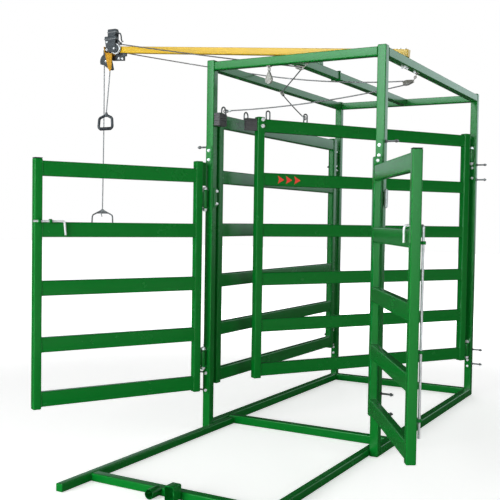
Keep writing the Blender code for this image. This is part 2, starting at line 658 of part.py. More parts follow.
# Ropes over the head's sheaves, the places of the pulleys, and the eyes they pull on
WRAP = SHEAVE_R + ROPE_R + RUN
OVER_FRONT = turn((FRONT_C[0], FRONT_Y, FRONT_C[1]), (0, 1, 0), WRAP, (-1, 0, 0), (0.21, 0, 1))
OVER_REAR = turn((REAR_C[0], REAR_Y, REAR_C[1]), (0, 1, 0), WRAP, (-1, 0, 0), (0.21, 0, 1))
ON_RAIL = (-X_IN - 0.003, Y_FRONT + 0.517, TOP_Z + ROPE_R + 0.0012)
FRONT_SAG = 0.004
REAR_SAG = 0.024
SIDE_SAG = 0.026
SWIVEL_R = 0.017
FAIR_R = 0.012
RIGHT_R = 0.020
SWIVEL = (0.012, Y_FRONT + 0.077, RAIL_Z - 0.0150)
FAIR = (-X_IN + 0.012, Y_FRONT + 0.880, RAIL_Z - 0.024)
RIGHT = (X_IN - 0.034, Y_FRONT + 0.587, RAIL_Z - 0.058)
CENTRE_DIR = Vector((math.cos(math.radians(CENTRE_TURN)), math.sin(math.radians(CENTRE_TURN)), 0))
CENTRE_HOOK = (Vector((*CENTRE_PIN, INNER_TOP + EYE_TALL / 2))
               + CENTRE_DIR * (INNER_END - CENTRE_EYES[1]) + Vector((-0.85, 0.53, 0)) * 0.012)
SIDE_HOOK = Vector((SIDE_PIN[0] + 0.012, SIDE_PIN[1] - INNER_END + SIDE_EYES[0], INNER_TOP + 0.030))
SWIVEL_AXIS, SWIVEL_ROPE = bend_round(SWIVEL, SWIVEL_R,
                                      between(OVER_FRONT[-1], SWIVEL, FRONT_SAG, 4)[-1], FAIR)
FAIR_AXIS, FAIR_ROPE = bend_round(FAIR, FAIR_R, SWIVEL,
                                  between(FAIR, CENTRE_HOOK, FRONT_SAG, 4)[0])
RIGHT_AXIS, RIGHT_ROPE = bend_round(RIGHT, RIGHT_R, between(ON_RAIL, RIGHT, REAR_SAG, 6)[-1],
                                    between(RIGHT, SIDE_HOOK, SIDE_SAG, 6)[0])
SWIVEL_TO = (0.100, Y_FRONT + TOP_RAIL + 0.004, TOP_Z - 0.022)
FAIR_TO = (-X_IN - 0.014, FAIR[1] + 0.030, RAIL_Z - 0.004)
RIGHT_TO = (X_MID, RIGHT[1] + 0.010, RAIL_Z - 0.004)
SPARE = (-0.156, Y_FRONT + TOP_RAIL / 2, RAIL_Z - 0.080)
SPARE_TO = (SPARE[0], SPARE[1], RAIL_Z - 0.004)


def pad_under(x, y):
    """Corners of a small pad under a top rail."""
    return (x - 0.010, x + 0.010, y - 0.010, y + 0.010, RAIL_Z - 0.008, RAIL_Z - GAP)


pulley("pulley_front", SWIVEL, SWIVEL_AXIS, (1.0, -0.25, 0.12), SWIVEL_TO,
       (SWIVEL_TO[0] - 0.010, SWIVEL_TO[0] + 0.010, Y_FRONT + TOP_RAIL + GAP,
        Y_FRONT + TOP_RAIL + 0.008, SWIVEL_TO[2] - 0.014, SWIVEL_TO[2] + 0.014), SWIVEL_R)
pulley("pulley_left", FAIR, FAIR_AXIS, (-0.7, 0.7, 0.4), FAIR_TO, pad_under(*FAIR_TO[:2]), FAIR_R)
pulley("pulley_right", RIGHT, RIGHT_AXIS, (1.0, 0.15, 0.66), RIGHT_TO, pad_under(*RIGHT_TO[:2]),
       RIGHT_R)
pulley("pulley_spare", SPARE, (0.15, 1, 0), (0, 0, 1), SPARE_TO, pad_under(*SPARE_TO[:2]), RIGHT_R)

# Ropes held by the pulleys, made from end to end
centre_run = [Vector((OVER_FRONT[0][0] - 0.0023, OVER_FRONT[0][1], END_Z - 0.002))] + OVER_FRONT
centre_run += between(OVER_FRONT[-1], SWIVEL_ROPE[0], FRONT_SAG, 4) + SWIVEL_ROPE + FAIR_ROPE
centre_run += between(FAIR_ROPE[-1], CENTRE_HOOK, FRONT_SAG, 4) + [CENTRE_HOOK]
add("rope_centre", sweep(centre_run, ROPE_R), ROPE_GREY, 0.7)
side_run = [Vector((OVER_REAR[0][0], OVER_REAR[0][1], END_Z - 0.044))] + OVER_REAR
side_run += between(OVER_REAR[-1], ON_RAIL, FRONT_SAG, 4) + [Vector(ON_RAIL)]
side_run += between(ON_RAIL, RIGHT_ROPE[0], REAR_SAG, 6) + RIGHT_ROPE
side_run += between(RIGHT_ROPE[-1], SIDE_HOOK, SIDE_SAG, 6) + [SIDE_HOOK]
add("rope_side", sweep(side_run, ROPE_R), ROPE_GREY, 0.7)


# Hanging ropes with their handles
def hang(top, bottom, lean, steps):
    """Points of a hanging rope that leans a little on its way down."""
    out = []
    for i in range(steps + 1):
        t = i / steps
        shift = lean * math.sin(math.pi * t)
        out.append((top[0] + (bottom[0] - top[0]) * t + shift, top[1] + (bottom[1] - top[1]) * t,
                    top[2] + (bottom[2] - top[2]) * t))
    return out


FRONT_DROP = (centre_run[0].x, centre_run[0].y, centre_run[0].z - GAP)
D_TOP = (END_X - 0.0667, FRONT_DROP[1], 2.030)
add("rope_drop_front", sweep(hang(FRONT_DROP, D_TOP, 0.001, 22), ROPE_R), ROPE_GREY, 0.7)
REAR_DROP = (side_run[0].x, side_run[0].y, side_run[0].z - GAP)
STIRRUP_TOP = (REAR_DROP[0] - 0.006, REAR_DROP[1], 1.357)
add("rope_drop_rear", sweep(hang(REAR_DROP, STIRRUP_TOP, 0.003, 40), ROPE_R), ROPE_GREY, 0.7)


def loop_of(corners, radii, steps=4):
    """A closed path in the XZ plane with rounded corners."""
    out = []
    count = len(corners)
    for i, (corner, r) in enumerate(zip(corners, radii)):
        c = Vector(corner)
        a = (Vector(corners[i - 1]) - c).normalized()
        b = (Vector(corners[(i + 1) % count]) - c).normalized()
        half = a.angle(b) / 2
        back = r / math.tan(half)
        centre = c + (a + b).normalized() * (r / math.sin(half))
        p = c + a * back - centre
        q = c + b * back - centre
        for k in range(steps + 1):
            out.append(centre + p.slerp(q, k / steps) * r)
    return out


def handle(name, top, corners, radii, bar, knot, under, color, rough, metal):
    """A closed pull handle, its knot on top starting the gap 'under' below the rope's end."""
    path = [Vector((top[0] + v.x, top[1], top[2] + v.y)) for v in
            loop_of([Vector((*c,)) for c in corners], radii)]
    ring = sweep(path, bar, 2, cyclic=True)
    tie = rod((top[0], top[1], top[2] - knot[1]), (top[0], top[1], top[2] - under), knot[0], 10)
    return add(name, boolean(ring, [tie]), color, rough, metal)


handle("handle_d", D_TOP,
       [(-0.070, -0.116), (0.055, -0.116), (0.050, -0.042), (0.0, -0.020), (-0.062, -0.042)],
       (0.020, 0.020, 0.018, 0.012, 0.018), 0.0095, (0.0125, 0.034), 2.4 * GAP, BLACK, 0.6, 0.0)
handle("handle_stirrup", STIRRUP_TOP,
       [(-0.098, -0.135), (0.096, -0.135), (0.092, -0.050), (0.0, -0.012), (-0.092, -0.050)],
       (0.014, 0.014, 0.022, 0.006, 0.022), 0.005, (0.008, 0.024), 1.5 * GAP, DARK_STEEL, 0.5, 0.6)
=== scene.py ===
# Looks of a cattle drafting gate: powder-coated tube frame, hinges and their bolts, wire ropes with
# pulleys and pull handles, and the yellow boom, on a pale studio floor. Metres, Z up.

import json
import math

import bmesh
import bpy
from mathutils import Matrix, Vector


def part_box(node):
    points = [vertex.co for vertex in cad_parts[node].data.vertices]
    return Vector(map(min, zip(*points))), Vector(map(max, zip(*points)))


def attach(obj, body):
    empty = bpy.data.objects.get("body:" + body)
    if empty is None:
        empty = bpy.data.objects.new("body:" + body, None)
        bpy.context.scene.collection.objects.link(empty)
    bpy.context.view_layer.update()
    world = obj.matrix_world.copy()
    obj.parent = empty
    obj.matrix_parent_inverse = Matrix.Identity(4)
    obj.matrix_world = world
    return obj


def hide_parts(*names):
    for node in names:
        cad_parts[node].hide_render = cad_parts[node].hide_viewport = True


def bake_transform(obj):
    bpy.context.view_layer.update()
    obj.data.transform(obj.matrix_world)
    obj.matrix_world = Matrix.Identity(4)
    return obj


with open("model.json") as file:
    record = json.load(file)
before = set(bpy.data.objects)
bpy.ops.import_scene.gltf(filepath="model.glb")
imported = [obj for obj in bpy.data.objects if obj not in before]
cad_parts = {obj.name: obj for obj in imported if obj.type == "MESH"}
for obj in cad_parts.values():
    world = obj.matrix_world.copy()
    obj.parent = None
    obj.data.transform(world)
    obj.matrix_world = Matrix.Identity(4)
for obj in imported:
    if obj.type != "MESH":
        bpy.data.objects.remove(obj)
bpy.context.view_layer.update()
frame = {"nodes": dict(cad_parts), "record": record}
node_objects = frame["nodes"]


# Small makers of shader nodes

# Sockets of a colour Mix node: its share, its two colours, and the colour that it gives
MIX_SHARE, MIX_FIRST, MIX_SECOND, MIX_RESULT = 0, 6, 7, 2


def node(tree, kind, **settings):
    made = tree.nodes.new(kind)
    for key, value in settings.items():
        setattr(made, key, value)
    return made


def fed(tree, inlet, value):
    """Feeds an inlet from another node's output, or sets it to a plain value."""
    if isinstance(value, bpy.types.NodeSocket):
        tree.links.new(value, inlet)
    else:
        inlet.default_value = value


def maths(tree, operation, first, second, clamp=False):
    made = node(tree, "ShaderNodeMath", operation=operation, use_clamp=clamp)
    fed(tree, made.inputs[0], first)
    fed(tree, made.inputs[1], second)
    return made.outputs[0]


def step_up(tree, value, low, high):
    """Rises softly from 0 to 1 as a value goes from low to high."""
    made = node(tree, "ShaderNodeMapRange", interpolation_type="SMOOTHSTEP")
    for key, given in (("Value", value), ("From Min", low), ("From Max", high)):
        fed(tree, made.inputs[key], given)
    return made.outputs["Result"]


def along_turn(tree, vector, degrees):
    """A vector's reach along a level direction, which is given in degrees from X."""
    made = node(tree, "ShaderNodeVectorMath", operation="DOT_PRODUCT")
    turn = math.radians(degrees)
    fed(tree, made.inputs[0], vector)
    fed(tree, made.inputs[1], (math.cos(turn), math.sin(turn), 0.0))
    return made.outputs["Value"]


def noise(tree, place, scale, detail=3.0, rough=0.55):
    made = node(tree, "ShaderNodeTexNoise")
    for key, value in (("Vector", place), ("Scale", scale), ("Detail", detail), ("Roughness", rough)):
        fed(tree, made.inputs[key], value)
    return made.outputs["Fac"]


def patches(tree, texture, start, steep):
    """Soft-edged patches from 0 to 1, where a noise rises above a start."""
    return maths(tree, "MULTIPLY", maths(tree, "SUBTRACT", texture, start), steep, clamp=True)


def drift_of(tree, texture, amount):
    """A noise about 0, times an amount."""
    return maths(tree, "MULTIPLY", maths(tree, "SUBTRACT", texture, 0.5), amount)


def blend_colour(tree, share, first, second, mode="MIX"):
    made = node(tree, "ShaderNodeMix", data_type="RGBA", blend_type=mode)
    for i, value in ((MIX_SHARE, share), (MIX_FIRST, first), (MIX_SECOND, second)):
        fed(tree, made.inputs[i], value)
    return made.outputs[MIX_RESULT]


def shaded(tree, colour, level):
    """A colour made lighter or darker by a level about 1."""
    grey = node(tree, "ShaderNodeCombineColor")
    for i in range(3):
        fed(tree, grey.inputs[i], level)
    return blend_colour(tree, 1.0, colour, grey.outputs[0], "MULTIPLY")


def bumped(tree, height, strength, distance):
    made = node(tree, "ShaderNodeBump")
    for key, value in (("Height", height), ("Strength", strength), ("Distance", distance)):
        fed(tree, made.inputs[key], value)
    return made


def mixed_shaders(tree, share, first, second):
    made = node(tree, "ShaderNodeMixShader")
    for i, value in enumerate((share, first, second)):
        tree.links.new(value, made.inputs[i])
    return made.outputs[0]


# Camera

CAMERA_PLACE = (2.168, -4.541, 1.292)
YAW, PITCH, ROLL = 29.47, -2.09, 0.88
FOCAL_PIXELS, PICTURE_PIXELS = 832.7, 500
SENSOR_WIDTH = 36.0


def studio_camera():
    """Camera at the photograph's viewing angle, from the right front of the mouth."""
    yaw, pitch, roll = math.radians(YAW), math.radians(PITCH), math.radians(ROLL)
    ahead = Vector((-math.sin(yaw) * math.cos(pitch), math.cos(yaw) * math.cos(pitch), math.sin(pitch)))
    level_right = Vector((math.cos(yaw), math.sin(yaw), 0.0))
    level_up = level_right.cross(ahead)
    right = level_right * math.cos(roll) + level_up * math.sin(roll)
    up = level_up * math.cos(roll) - level_right * math.sin(roll)
    data = bpy.data.cameras.new("studio_camera")
    data.sensor_width = SENSOR_WIDTH
    data.lens = FOCAL_PIXELS / PICTURE_PIXELS * SENSOR_WIDTH
    data.clip_end = 60.0
    camera = bpy.data.objects.new("studio_camera", data)
    bpy.context.collection.objects.link(camera)
    turn = Matrix((right, up, -ahead)).transposed().to_4x4()
    camera.matrix_world = Matrix.Translation(CAMERA_PLACE) @ turn
    bpy.context.scene.camera = camera


# Light

LAMPS = {
    "lamp_front": dict(place=(-1.2, -6.4, 1.3), aim=(0.0, 0.0, 1.1), size=(3.4, 2.2), power=360.0),
    "lamp_right": dict(place=(6.5, -0.5, 3.0), aim=(0.0, 0.3, 1.1), size=(3.0, 2.6), power=70.0),
    "lamp_behind": dict(place=(-2.5, 7.0, 2.6), aim=(0.0, 0.6, 1.1), size=(3.0, 3.0), power=110.0),
}
# Soft panels that only gloss sees: turn and half widths in degrees, rise and fade as sines of height
PANELS = {
    "front": dict(turn=-98, half=(33, 8), rise=(0.02, 0.16), fade=(0.55, 0.75), light=8.0),
    "front_right": dict(turn=-50, half=(24, 10), rise=(-0.45, -0.20), fade=(0.40, 0.65), light=2.6),
    "behind": dict(turn=66, half=(26, 12), rise=(-0.12, 0.12), fade=(0.30, 0.55), light=1.8),
    "behind_left": dict(turn=146, half=(26, 8), rise=(-0.10, 0.08), fade=(0.30, 0.55), light=0.80),
}
ROOM_DIM = 0.030
PANEL_TINT = (0.82, 0.98, 1.0, 1.0)
WHITE = (1.0, 1.0, 1.0, 1.0)
AIR_LOW, AIR_HIGH = 0.56, 0.16
AIR_TURNS = 0.15, 0.85


def soft_lamp(name, place, aim, size, power):
    data = bpy.data.lights.new(name, "AREA")
    data.shape = "RECTANGLE"
    data.size, data.size_y = size
    data.energy = power
    lamp = bpy.data.objects.new(name, data)
    bpy.context.collection.objects.link(lamp)
    lamp.location = place
    lamp.rotation_mode = "QUATERNION"
    lamp.rotation_quaternion = (Vector(aim) - Vector(place)).to_track_quat("-Z", "Y")
    lamp.visible_glossy = False


def panel_light(tree, level, height, turn, half, rise, fade, light):
    """Brightness of one soft panel: seen within a half width about its turn, between two heights."""
    ahead = along_turn(tree, level, turn)
    across = step_up(tree, ahead, *(math.cos(math.radians(h)) for h in half))
    low = step_up(tree, height, *rise)
    high = step_up(tree, height, *fade)
    band = maths(tree, "MULTIPLY", low, maths(tree, "SUBTRACT", 1.0, high))
    return maths(tree, "MULTIPLY", maths(tree, "MULTIPLY", band, across), light)


def split_direction(tree):
    place = node(tree, "ShaderNodeTexCoord").outputs["Generated"]
    split = node(tree, "ShaderNodeSeparateXYZ")
    tree.links.new(place, split.inputs[0])
    return split.outputs


def studio_panels(tree):
    """Brightness of the room that gloss mirrors: dim walls with soft panels before and behind."""
    way = split_direction(tree)
    flat = node(tree, "ShaderNodeCombineXYZ")
    tree.links.new(way["X"], flat.inputs["X"])
    tree.links.new(way["Y"], flat.inputs["Y"])
    level = node(tree, "ShaderNodeVectorMath", operation="NORMALIZE")
    tree.links.new(flat.outputs[0], level.inputs[0])
    total = ROOM_DIM
    for panel in PANELS.values():
        total = maths(tree, "ADD", panel_light(tree, level.outputs[0], way["Z"], **panel), total)
    return total


def air_light(tree):
    """Light from all round, less of it from straight above."""
    above = step_up(tree, split_direction(tree)["Z"], *AIR_TURNS)
    return maths(tree, "SUBTRACT", AIR_LOW, maths(tree, "MULTIPLY", above, AIR_LOW - AIR_HIGH))


def background(tree, tint, strength):
    made = node(tree, "ShaderNodeBackground")
    fed(tree, made.inputs["Color"], tint)
    fed(tree, made.inputs["Strength"], strength)
    return made.outputs[0]


def studio_air():
    """Surfaces get soft air light, gloss mirrors the panels, and the camera sees white."""
    world = bpy.data.worlds.new("studio_air")
    bpy.context.scene.world = world
    world.use_nodes = True
    tree = world.node_tree
    tree.nodes.clear()
    path = node(tree, "ShaderNodeLightPath").outputs
    air = background(tree, WHITE, air_light(tree))
    room = background(tree, PANEL_TINT, studio_panels(tree))
    mirrored = mixed_shaders(tree, path["Is Glossy Ray"], air, room)
    through = maths(tree, "MAXIMUM", path["Is Camera Ray"], path["Is Transmission Ray"])
    seen = mixed_shaders(tree, through, mirrored, background(tree, WHITE, 1.0))
    tree.links.new(seen, node(tree, "ShaderNodeOutputWorld").inputs["Surface"])


# Floor

FLOOR_HALF, FLOOR_UNDER = 30.0, 0.002
FLOOR_PALE, FLOOR_DIM = (0.93, 0.93, 0.93, 1.0), (0.10, 0.10, 0.10, 1.0)
# Where the painted pool of light on the mirrored floor starts and ends, along the way to the front right
# panel
FLOOR_PAINTED_POOL = 2.4, 4.4
FLOOR_LIFT, LIFT_NEAR, LIFT_FAR = 0.52, 2.4, 6.0


def mirrored_floor_painted_light(tree, place):
    """Floor that gloss mirrors, with painted light: dim near the gate, and a painted pool of light where
    the panel at the front right would light it.
    """
    lit = step_up(tree, along_turn(tree, place, PANELS["front_right"]["turn"]), *FLOOR_PAINTED_POOL)
    return blend_colour(tree, lit, FLOOR_DIM, FLOOR_PALE)


def floor_white():
    """Pale floor that keeps the shadow, and turns to plain white for the camera further out."""
    mat = bpy.data.materials.new("floor_white")
    mat.use_nodes = True
    tree = mat.node_tree
    shader = tree.nodes["Principled BSDF"]
    shader.inputs["Roughness"].default_value = 0.9
    shader.inputs["Specular IOR Level"].default_value = 0.1
    shader.inputs["Emission Color"].default_value = WHITE
    path = node(tree, "ShaderNodeLightPath").outputs
    spot = node(tree, "ShaderNodeTexCoord").outputs["Object"]
    away = node(tree, "ShaderNodeVectorMath", operation="LENGTH")
    tree.links.new(spot, away.inputs[0])
    rise = step_up(tree, away.outputs["Value"], LIFT_NEAR, LIFT_FAR)
    further = maths(tree, "MULTIPLY", rise, 1.0 - FLOOR_LIFT)
    lift = maths(tree, "MULTIPLY", path["Is Camera Ray"], maths(tree, "ADD", further, FLOOR_LIFT))
    tree.links.new(lift, shader.inputs["Emission Strength"])
    # Gloss sees the floor with painted light: painted shade near the gate and a painted pool of light
    tone = blend_colour(tree, path["Is Glossy Ray"], FLOOR_PALE, mirrored_floor_painted_light(tree, spot))
    tree.links.new(tone, shader.inputs["Base Color"])
    return mat


def studio_floor():
    bm = bmesh.new()
    bmesh.ops.create_grid(bm, x_segments=1, y_segments=1, size=FLOOR_HALF)
    mesh = bpy.data.meshes.new("studio_floor")
    bm.to_mesh(mesh)
    bm.free()
    mesh.materials.append(floor_white())
    floor = bpy.data.objects.new("studio_floor", mesh)
    bpy.context.collection.objects.link(floor)
    floor.location.z = -FLOOR_UNDER


studio_camera()
studio_air()
for name, values in LAMPS.items():
    soft_lamp(name, **values)
studio_floor()
bpy.context.scene.view_settings.view_transform = "Standard"


# Shader groups

SURFACE_OUTPUTS = {"Colour": "NodeSocketColor", "Roughness": "NodeSocketFloat",
                   "Normal": "NodeSocketVector"}


def surface_group(name, inputs):
    """A shader group with named inputs, which gives a colour, a roughness and a normal."""
    tree = bpy.data.node_groups.new(name, "ShaderNodeTree")
    for key, value in inputs.items():
        kind = "NodeSocketColor" if isinstance(value, tuple) else "NodeSocketFloat"
        made = tree.interface.new_socket(name=key, in_out="INPUT", socket_type=kind)
        made.default_value = value
    for key, kind in SURFACE_OUTPUTS.items():
        tree.interface.new_socket(name=key, in_out="OUTPUT", socket_type=kind)
    place = node(tree, "ShaderNodeTexCoord").outputs["Object"]
    return tree, node(tree, "NodeGroupInput").outputs, node(tree, "NodeGroupOutput").inputs, place


def edge_wear_and_highlight(tree, soft, place, amount):
    """Worn edges in patches, partly a painted highlight: where the rounded normal leaves the face's own."""
    flat = node(tree, "ShaderNodeNewGeometry").outputs["True Normal"]
    facing = node(tree, "ShaderNodeVectorMath", operation="DOT_PRODUCT")
    tree.links.new(soft, facing.inputs[0])
    tree.links.new(flat, facing.inputs[1])
    wear_highlight_mask = patches(tree, maths(tree, "SUBTRACT", 1.0, facing.outputs["Value"]), 0.02, 7.0)
    wear_highlight_mask = maths(tree, "MULTIPLY", wear_highlight_mask, patches(tree, noise(tree, place, 21.0, 5.0), 0.38, 4.0))
    return maths(tree, "MULTIPLY", wear_highlight_mask, amount, clamp=True)


def make_coat_group():
    """A coating on metal: slow colour drift, handling dust, worn edges that are partly a painted highlight,
    and an orange-peel skin.
    """
    tree, given, made, place = surface_group("coat_surface", {
        "Coat": (0.1, 0.3, 0.1, 1.0), "Edge": (0.3, 0.5, 0.3, 1.0), "Dust": (0.35, 0.33, 0.28, 1.0),
        "Edge amount": 0.5, "Dust amount": 0.1, "Drift": 0.15, "Gloss": 0.35, "Peel": 0.15,
        "Corner": 0.003})
    soft = node(tree, "ShaderNodeBevel", samples=6)
    tree.links.new(given["Corner"], soft.inputs["Radius"])
    wear_highlight_mask = edge_wear_and_highlight(tree, soft.outputs[0], place, given["Edge amount"])
    slow = noise(tree, place, 2.3, 4.0)
    colour = shaded(tree, given["Coat"], maths(tree, "ADD", drift_of(tree, slow, given["Drift"]), 1.0))
    dust = patches(tree, noise(tree, place, 7.0, 6.0, 0.7), 0.45, 3.0)
    dust = maths(tree, "MULTIPLY", dust, given["Dust amount"])
    colour = blend_colour(tree, dust, colour, given["Dust"])
    # Lighter edges: partly wear, partly a painted highlight on the rounded corners
    colour = blend_colour(tree, wear_highlight_mask, colour, given["Edge"])
    tree.links.new(colour, made["Colour"])
    rough = maths(tree, "ADD", given["Gloss"], maths(tree, "MULTIPLY", dust, 0.4))
    rough = maths(tree, "ADD", rough, drift_of(tree, slow, 0.12), clamp=True)
    tree.links.new(rough, made["Roughness"])
    skin = bumped(tree, noise(tree, place, 420.0, 2.0), given["Peel"], 0.0006)
    tree.links.new(soft.outputs[0], skin.inputs["Normal"])
    tree.links.new(skin.outputs[0], made["Normal"])
    return tree


def make_zinc_group():
    """Galvanised steel: pale spangle, dull streaks and a faint grain."""
    tree, given, made, place = surface_group("zinc_surface", {
        "Metal": (0.6, 0.6, 0.62, 1.0), "Spangle size": 70.0, "Spangle": 0.25, "Gloss": 0.35})
    cells = node(tree, "ShaderNodeTexVoronoi")
    tree.links.new(place, cells.inputs["Vector"])
    tree.links.new(given["Spangle size"], cells.inputs["Scale"])
    tone = node(tree, "ShaderNodeSeparateColor")
    tree.links.new(cells.outputs["Color"], tone.inputs[0])
    spangle = drift_of(tree, tone.outputs[0], given["Spangle"])
    streak = drift_of(tree, noise(tree, place, 9.0, 5.0), 0.3)
    level = maths(tree, "ADD", maths(tree, "ADD", 1.0, spangle), streak)
    tree.links.new(shaded(tree, given["Metal"], level), made["Colour"])
    rough = maths(tree, "ADD", given["Gloss"], maths(tree, "ABSOLUTE", streak, 0.0))
    tree.links.new(rough, made["Roughness"])
    grain = bumped(tree, noise(tree, place, 300.0, 3.0), 0.25, 0.0003)
    tree.links.new(grain.outputs[0], made["Normal"])
    return tree


def make_plastic_group():
    """Moulded plastic or rubber: fine grain, chalky rubbed places."""
    tree, given, made, place = surface_group("moulded_surface", {
        "Body": (0.03, 0.03, 0.035, 1.0), "Rubbed": (0.12, 0.12, 0.13, 1.0), "Rubbed amount": 0.4,
        "Grain size": 500.0, "Grain": 0.3, "Gloss": 0.5})
    rub = patches(tree, noise(tree, place, 33.0, 6.0, 0.65), 0.45, 3.0)
    rub = maths(tree, "MULTIPLY", rub, given["Rubbed amount"], clamp=True)
    tree.links.new(blend_colour(tree, rub, given["Body"], given["Rubbed"]), made["Colour"])
    rough = maths(tree, "ADD", given["Gloss"], maths(tree, "MULTIPLY", rub, 0.2), clamp=True)
    tree.links.new(rough, made["Roughness"])
    grain = bumped(tree, noise(tree, place, given["Grain size"], 2.0, 0.5), given["Grain"], 0.0004)
    tree.links.new(grain.outputs[0], made["Normal"])
    return tree


coat_group = make_coat_group()
zinc_group = make_zinc_group()
plastic_group = make_plastic_group()


# Finishes

def finish_from(name, group, values, metallic=0.0, specular=0.5):
    """A material that places a shader group with its own values."""
    mat = bpy.data.materials.new(name)
    mat.use_nodes = True
    tree = mat.node_tree
    shader = tree.nodes["Principled BSDF"]
    placed = node(tree, "ShaderNodeGroup", node_tree=group)
    for key, value in values.items():
        placed.inputs[key].default_value = (*value, 1.0) if isinstance(value, tuple) else value
    tree.links.new(placed.outputs["Colour"], shader.inputs["Base Color"])
    tree.links.new(placed.outputs["Roughness"], shader.inputs["Roughness"])
    tree.links.new(placed.outputs["Normal"], shader.inputs["Normal"])
    shader.inputs["Metallic"].default_value = metallic
    shader.inputs["Specular IOR Level"].default_value = specular
    return mat


# The lighter edge colours of these coats are partly wear and partly a painted highlight on the rounded
# corners
green_paint = finish_from("green_powder_coat", coat_group, {
    "Coat": (0.0008, 0.150, 0.0150), "Edge": (0.012, 0.260, 0.065), "Dust": (0.006, 0.140, 0.024),
    "Edge amount": 0.55, "Dust amount": 0.12, "Drift": 0.14, "Gloss": 0.24, "Peel": 0.035,
    "Corner": 0.004}, specular=0.42)
yellow_paint = finish_from("yellow_paint", coat_group, {
    "Coat": (0.68, 0.43, 0.022), "Edge": (0.84, 0.66, 0.22), "Dust": (0.50, 0.30, 0.06),
    "Edge amount": 0.6, "Dust amount": 0.12, "Drift": 0.16, "Gloss": 0.30, "Peel": 0.10,
    "Corner": 0.003}, specular=0.6)
# Painted shade: a darker, more orange copy of the yellow paint for the head plate, standing in for its
# shaded face, with bright edges as painted highlight
head_plate_painted_shade = finish_from("yellow_paint_shaded", coat_group, {
    "Coat": (0.50, 0.25, 0.012), "Edge": (0.82, 0.56, 0.12), "Dust": (0.36, 0.19, 0.03),
    "Edge amount": 0.7, "Dust amount": 0.16, "Drift": 0.20, "Gloss": 0.36, "Peel": 0.05,
    "Corner": 0.003}, specular=0.3)
arrow_red = finish_from("arrow_red", coat_group, {
    "Coat": (0.78, 0.050, 0.030), "Edge": (0.80, 0.16, 0.10), "Dust": (0.5, 0.16, 0.10),
    "Edge amount": 0.2, "Dust amount": 0.10, "Drift": 0.12, "Gloss": 0.35, "Peel": 0.05,
    "Corner": 0.0005}, specular=0.4)
zinc = finish_from("galvanised_steel", zinc_group, {
    "Metal": (0.84, 0.85, 0.87), "Spangle size": 90.0, "Spangle": 0.14, "Gloss": 0.30}, metallic=0.35)
dull_zinc = finish_from("dull_galvanised_steel", zinc_group, {
    "Metal": (0.41, 0.405, 0.375), "Spangle size": 120.0, "Spangle": 0.22, "Gloss": 0.36}, metallic=0.35)
dark_steel = finish_from("dark_steel", zinc_group, {
    "Metal": (0.15, 0.15, 0.155), "Spangle size": 160.0, "Spangle": 0.15, "Gloss": 0.36}, metallic=0.6)
wire_steel = finish_from("wire_rope_steel", zinc_group, {
    "Metal": (0.26, 0.25, 0.26), "Spangle size": 400.0, "Spangle": 0.35, "Gloss": 0.38}, metallic=0.6)
black_plastic = finish_from("black_plastic", plastic_group, {
    "Body": (0.030, 0.034, 0.040), "Rubbed": (0.085, 0.090, 0.100), "Rubbed amount": 0.35,
    "Grain size": 600.0, "Grain": 0.22, "Gloss": 0.36}, specular=0.5)
# Pale grey plastic for bands that stand for the highlight on the lower rims of the boom head's covers:
# painted highlight
grey_plastic = finish_from("grey_plastic", plastic_group, {
    "Body": (0.20, 0.21, 0.22), "Rubbed": (0.33, 0.34, 0.35), "Rubbed amount": 0.4,
    "Grain size": 600.0, "Grain": 0.22, "Gloss": 0.40})
black_rubber = finish_from("black_rubber", plastic_group, {
    "Body": (0.075, 0.074, 0.078), "Rubbed": (0.17, 0.165, 0.16), "Rubbed amount": 0.6,
    "Grain size": 350.0, "Grain": 0.5, "Gloss": 0.62}, specular=0.4)
bead_green = finish_from("painted_weld", coat_group, {
    "Coat": (0.0012, 0.135, 0.012), "Edge": (0.020, 0.24, 0.06), "Dust": (0.020, 0.14, 0.03),
    "Edge amount": 0.5, "Dust amount": 0.2, "Drift": 0.4, "Gloss": 0.30, "Peel": 0.25,
    "Corner": 0.001}, specular=0.42)


def finish_of(name):
    """The finish that a CAD node has under its dressed copy."""
    if name in ("boom", "boom_head_plate"):
        return yellow_paint
    if name.startswith("boom_head_block") or name == "handle_d":
        return black_plastic
    if name.endswith("_stop"):
        return black_rubber
    if name.startswith("pulley"):
        return dull_zinc
    if name in ("left_slide_bolt", "right_drop_rod"):
        return zinc
    if name == "handle_stirrup":
        return dark_steel
    if name.startswith("rope"):
        return wire_steel
    return green_paint


for name, cad in node_objects.items():
    for holder in cad.material_slots:
        holder.material = finish_of(name)


# Small makers

def shown(name, mesh, material, body):
    """Links a finished mesh, smooth where it is round, riding on a body."""
    mesh.name = name
    mesh.materials.clear()
    mesh.materials.append(material)
    piece = bpy.data.objects.new(name, mesh)
    bpy.context.collection.objects.link(piece)
    if body:
        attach(piece, body)
    return piece


def smooth_by_angle(mesh, degrees):
    for face in mesh.polygons:
        face.use_smooth = True
    mesh.set_sharp_from_angle(angle=math.radians(degrees))


def route_length(points):
    return sum((Vector(b) - Vector(a)).length for a, b in zip(points, points[1:]))


def evenly(points, count):
    """So many points, evenly spaced along straight pieces, without the last end."""
    total = route_length(points)
    out, walked, i = [], 0.0, 0
    for k in range(count):
        goal = total * k / count
        while walked + (points[i + 1] - points[i]).length < goal:
            walked += (points[i + 1] - points[i]).length
            i += 1
        part = (goal - walked) / max((points[i + 1] - points[i]).length, 1e-9)
        out.append(points[i].lerp(points[i + 1], part))
    return out


def even_loop(points, step):
    ring = points + [points[0]]
    return evenly(ring, round(route_length(ring) / step))


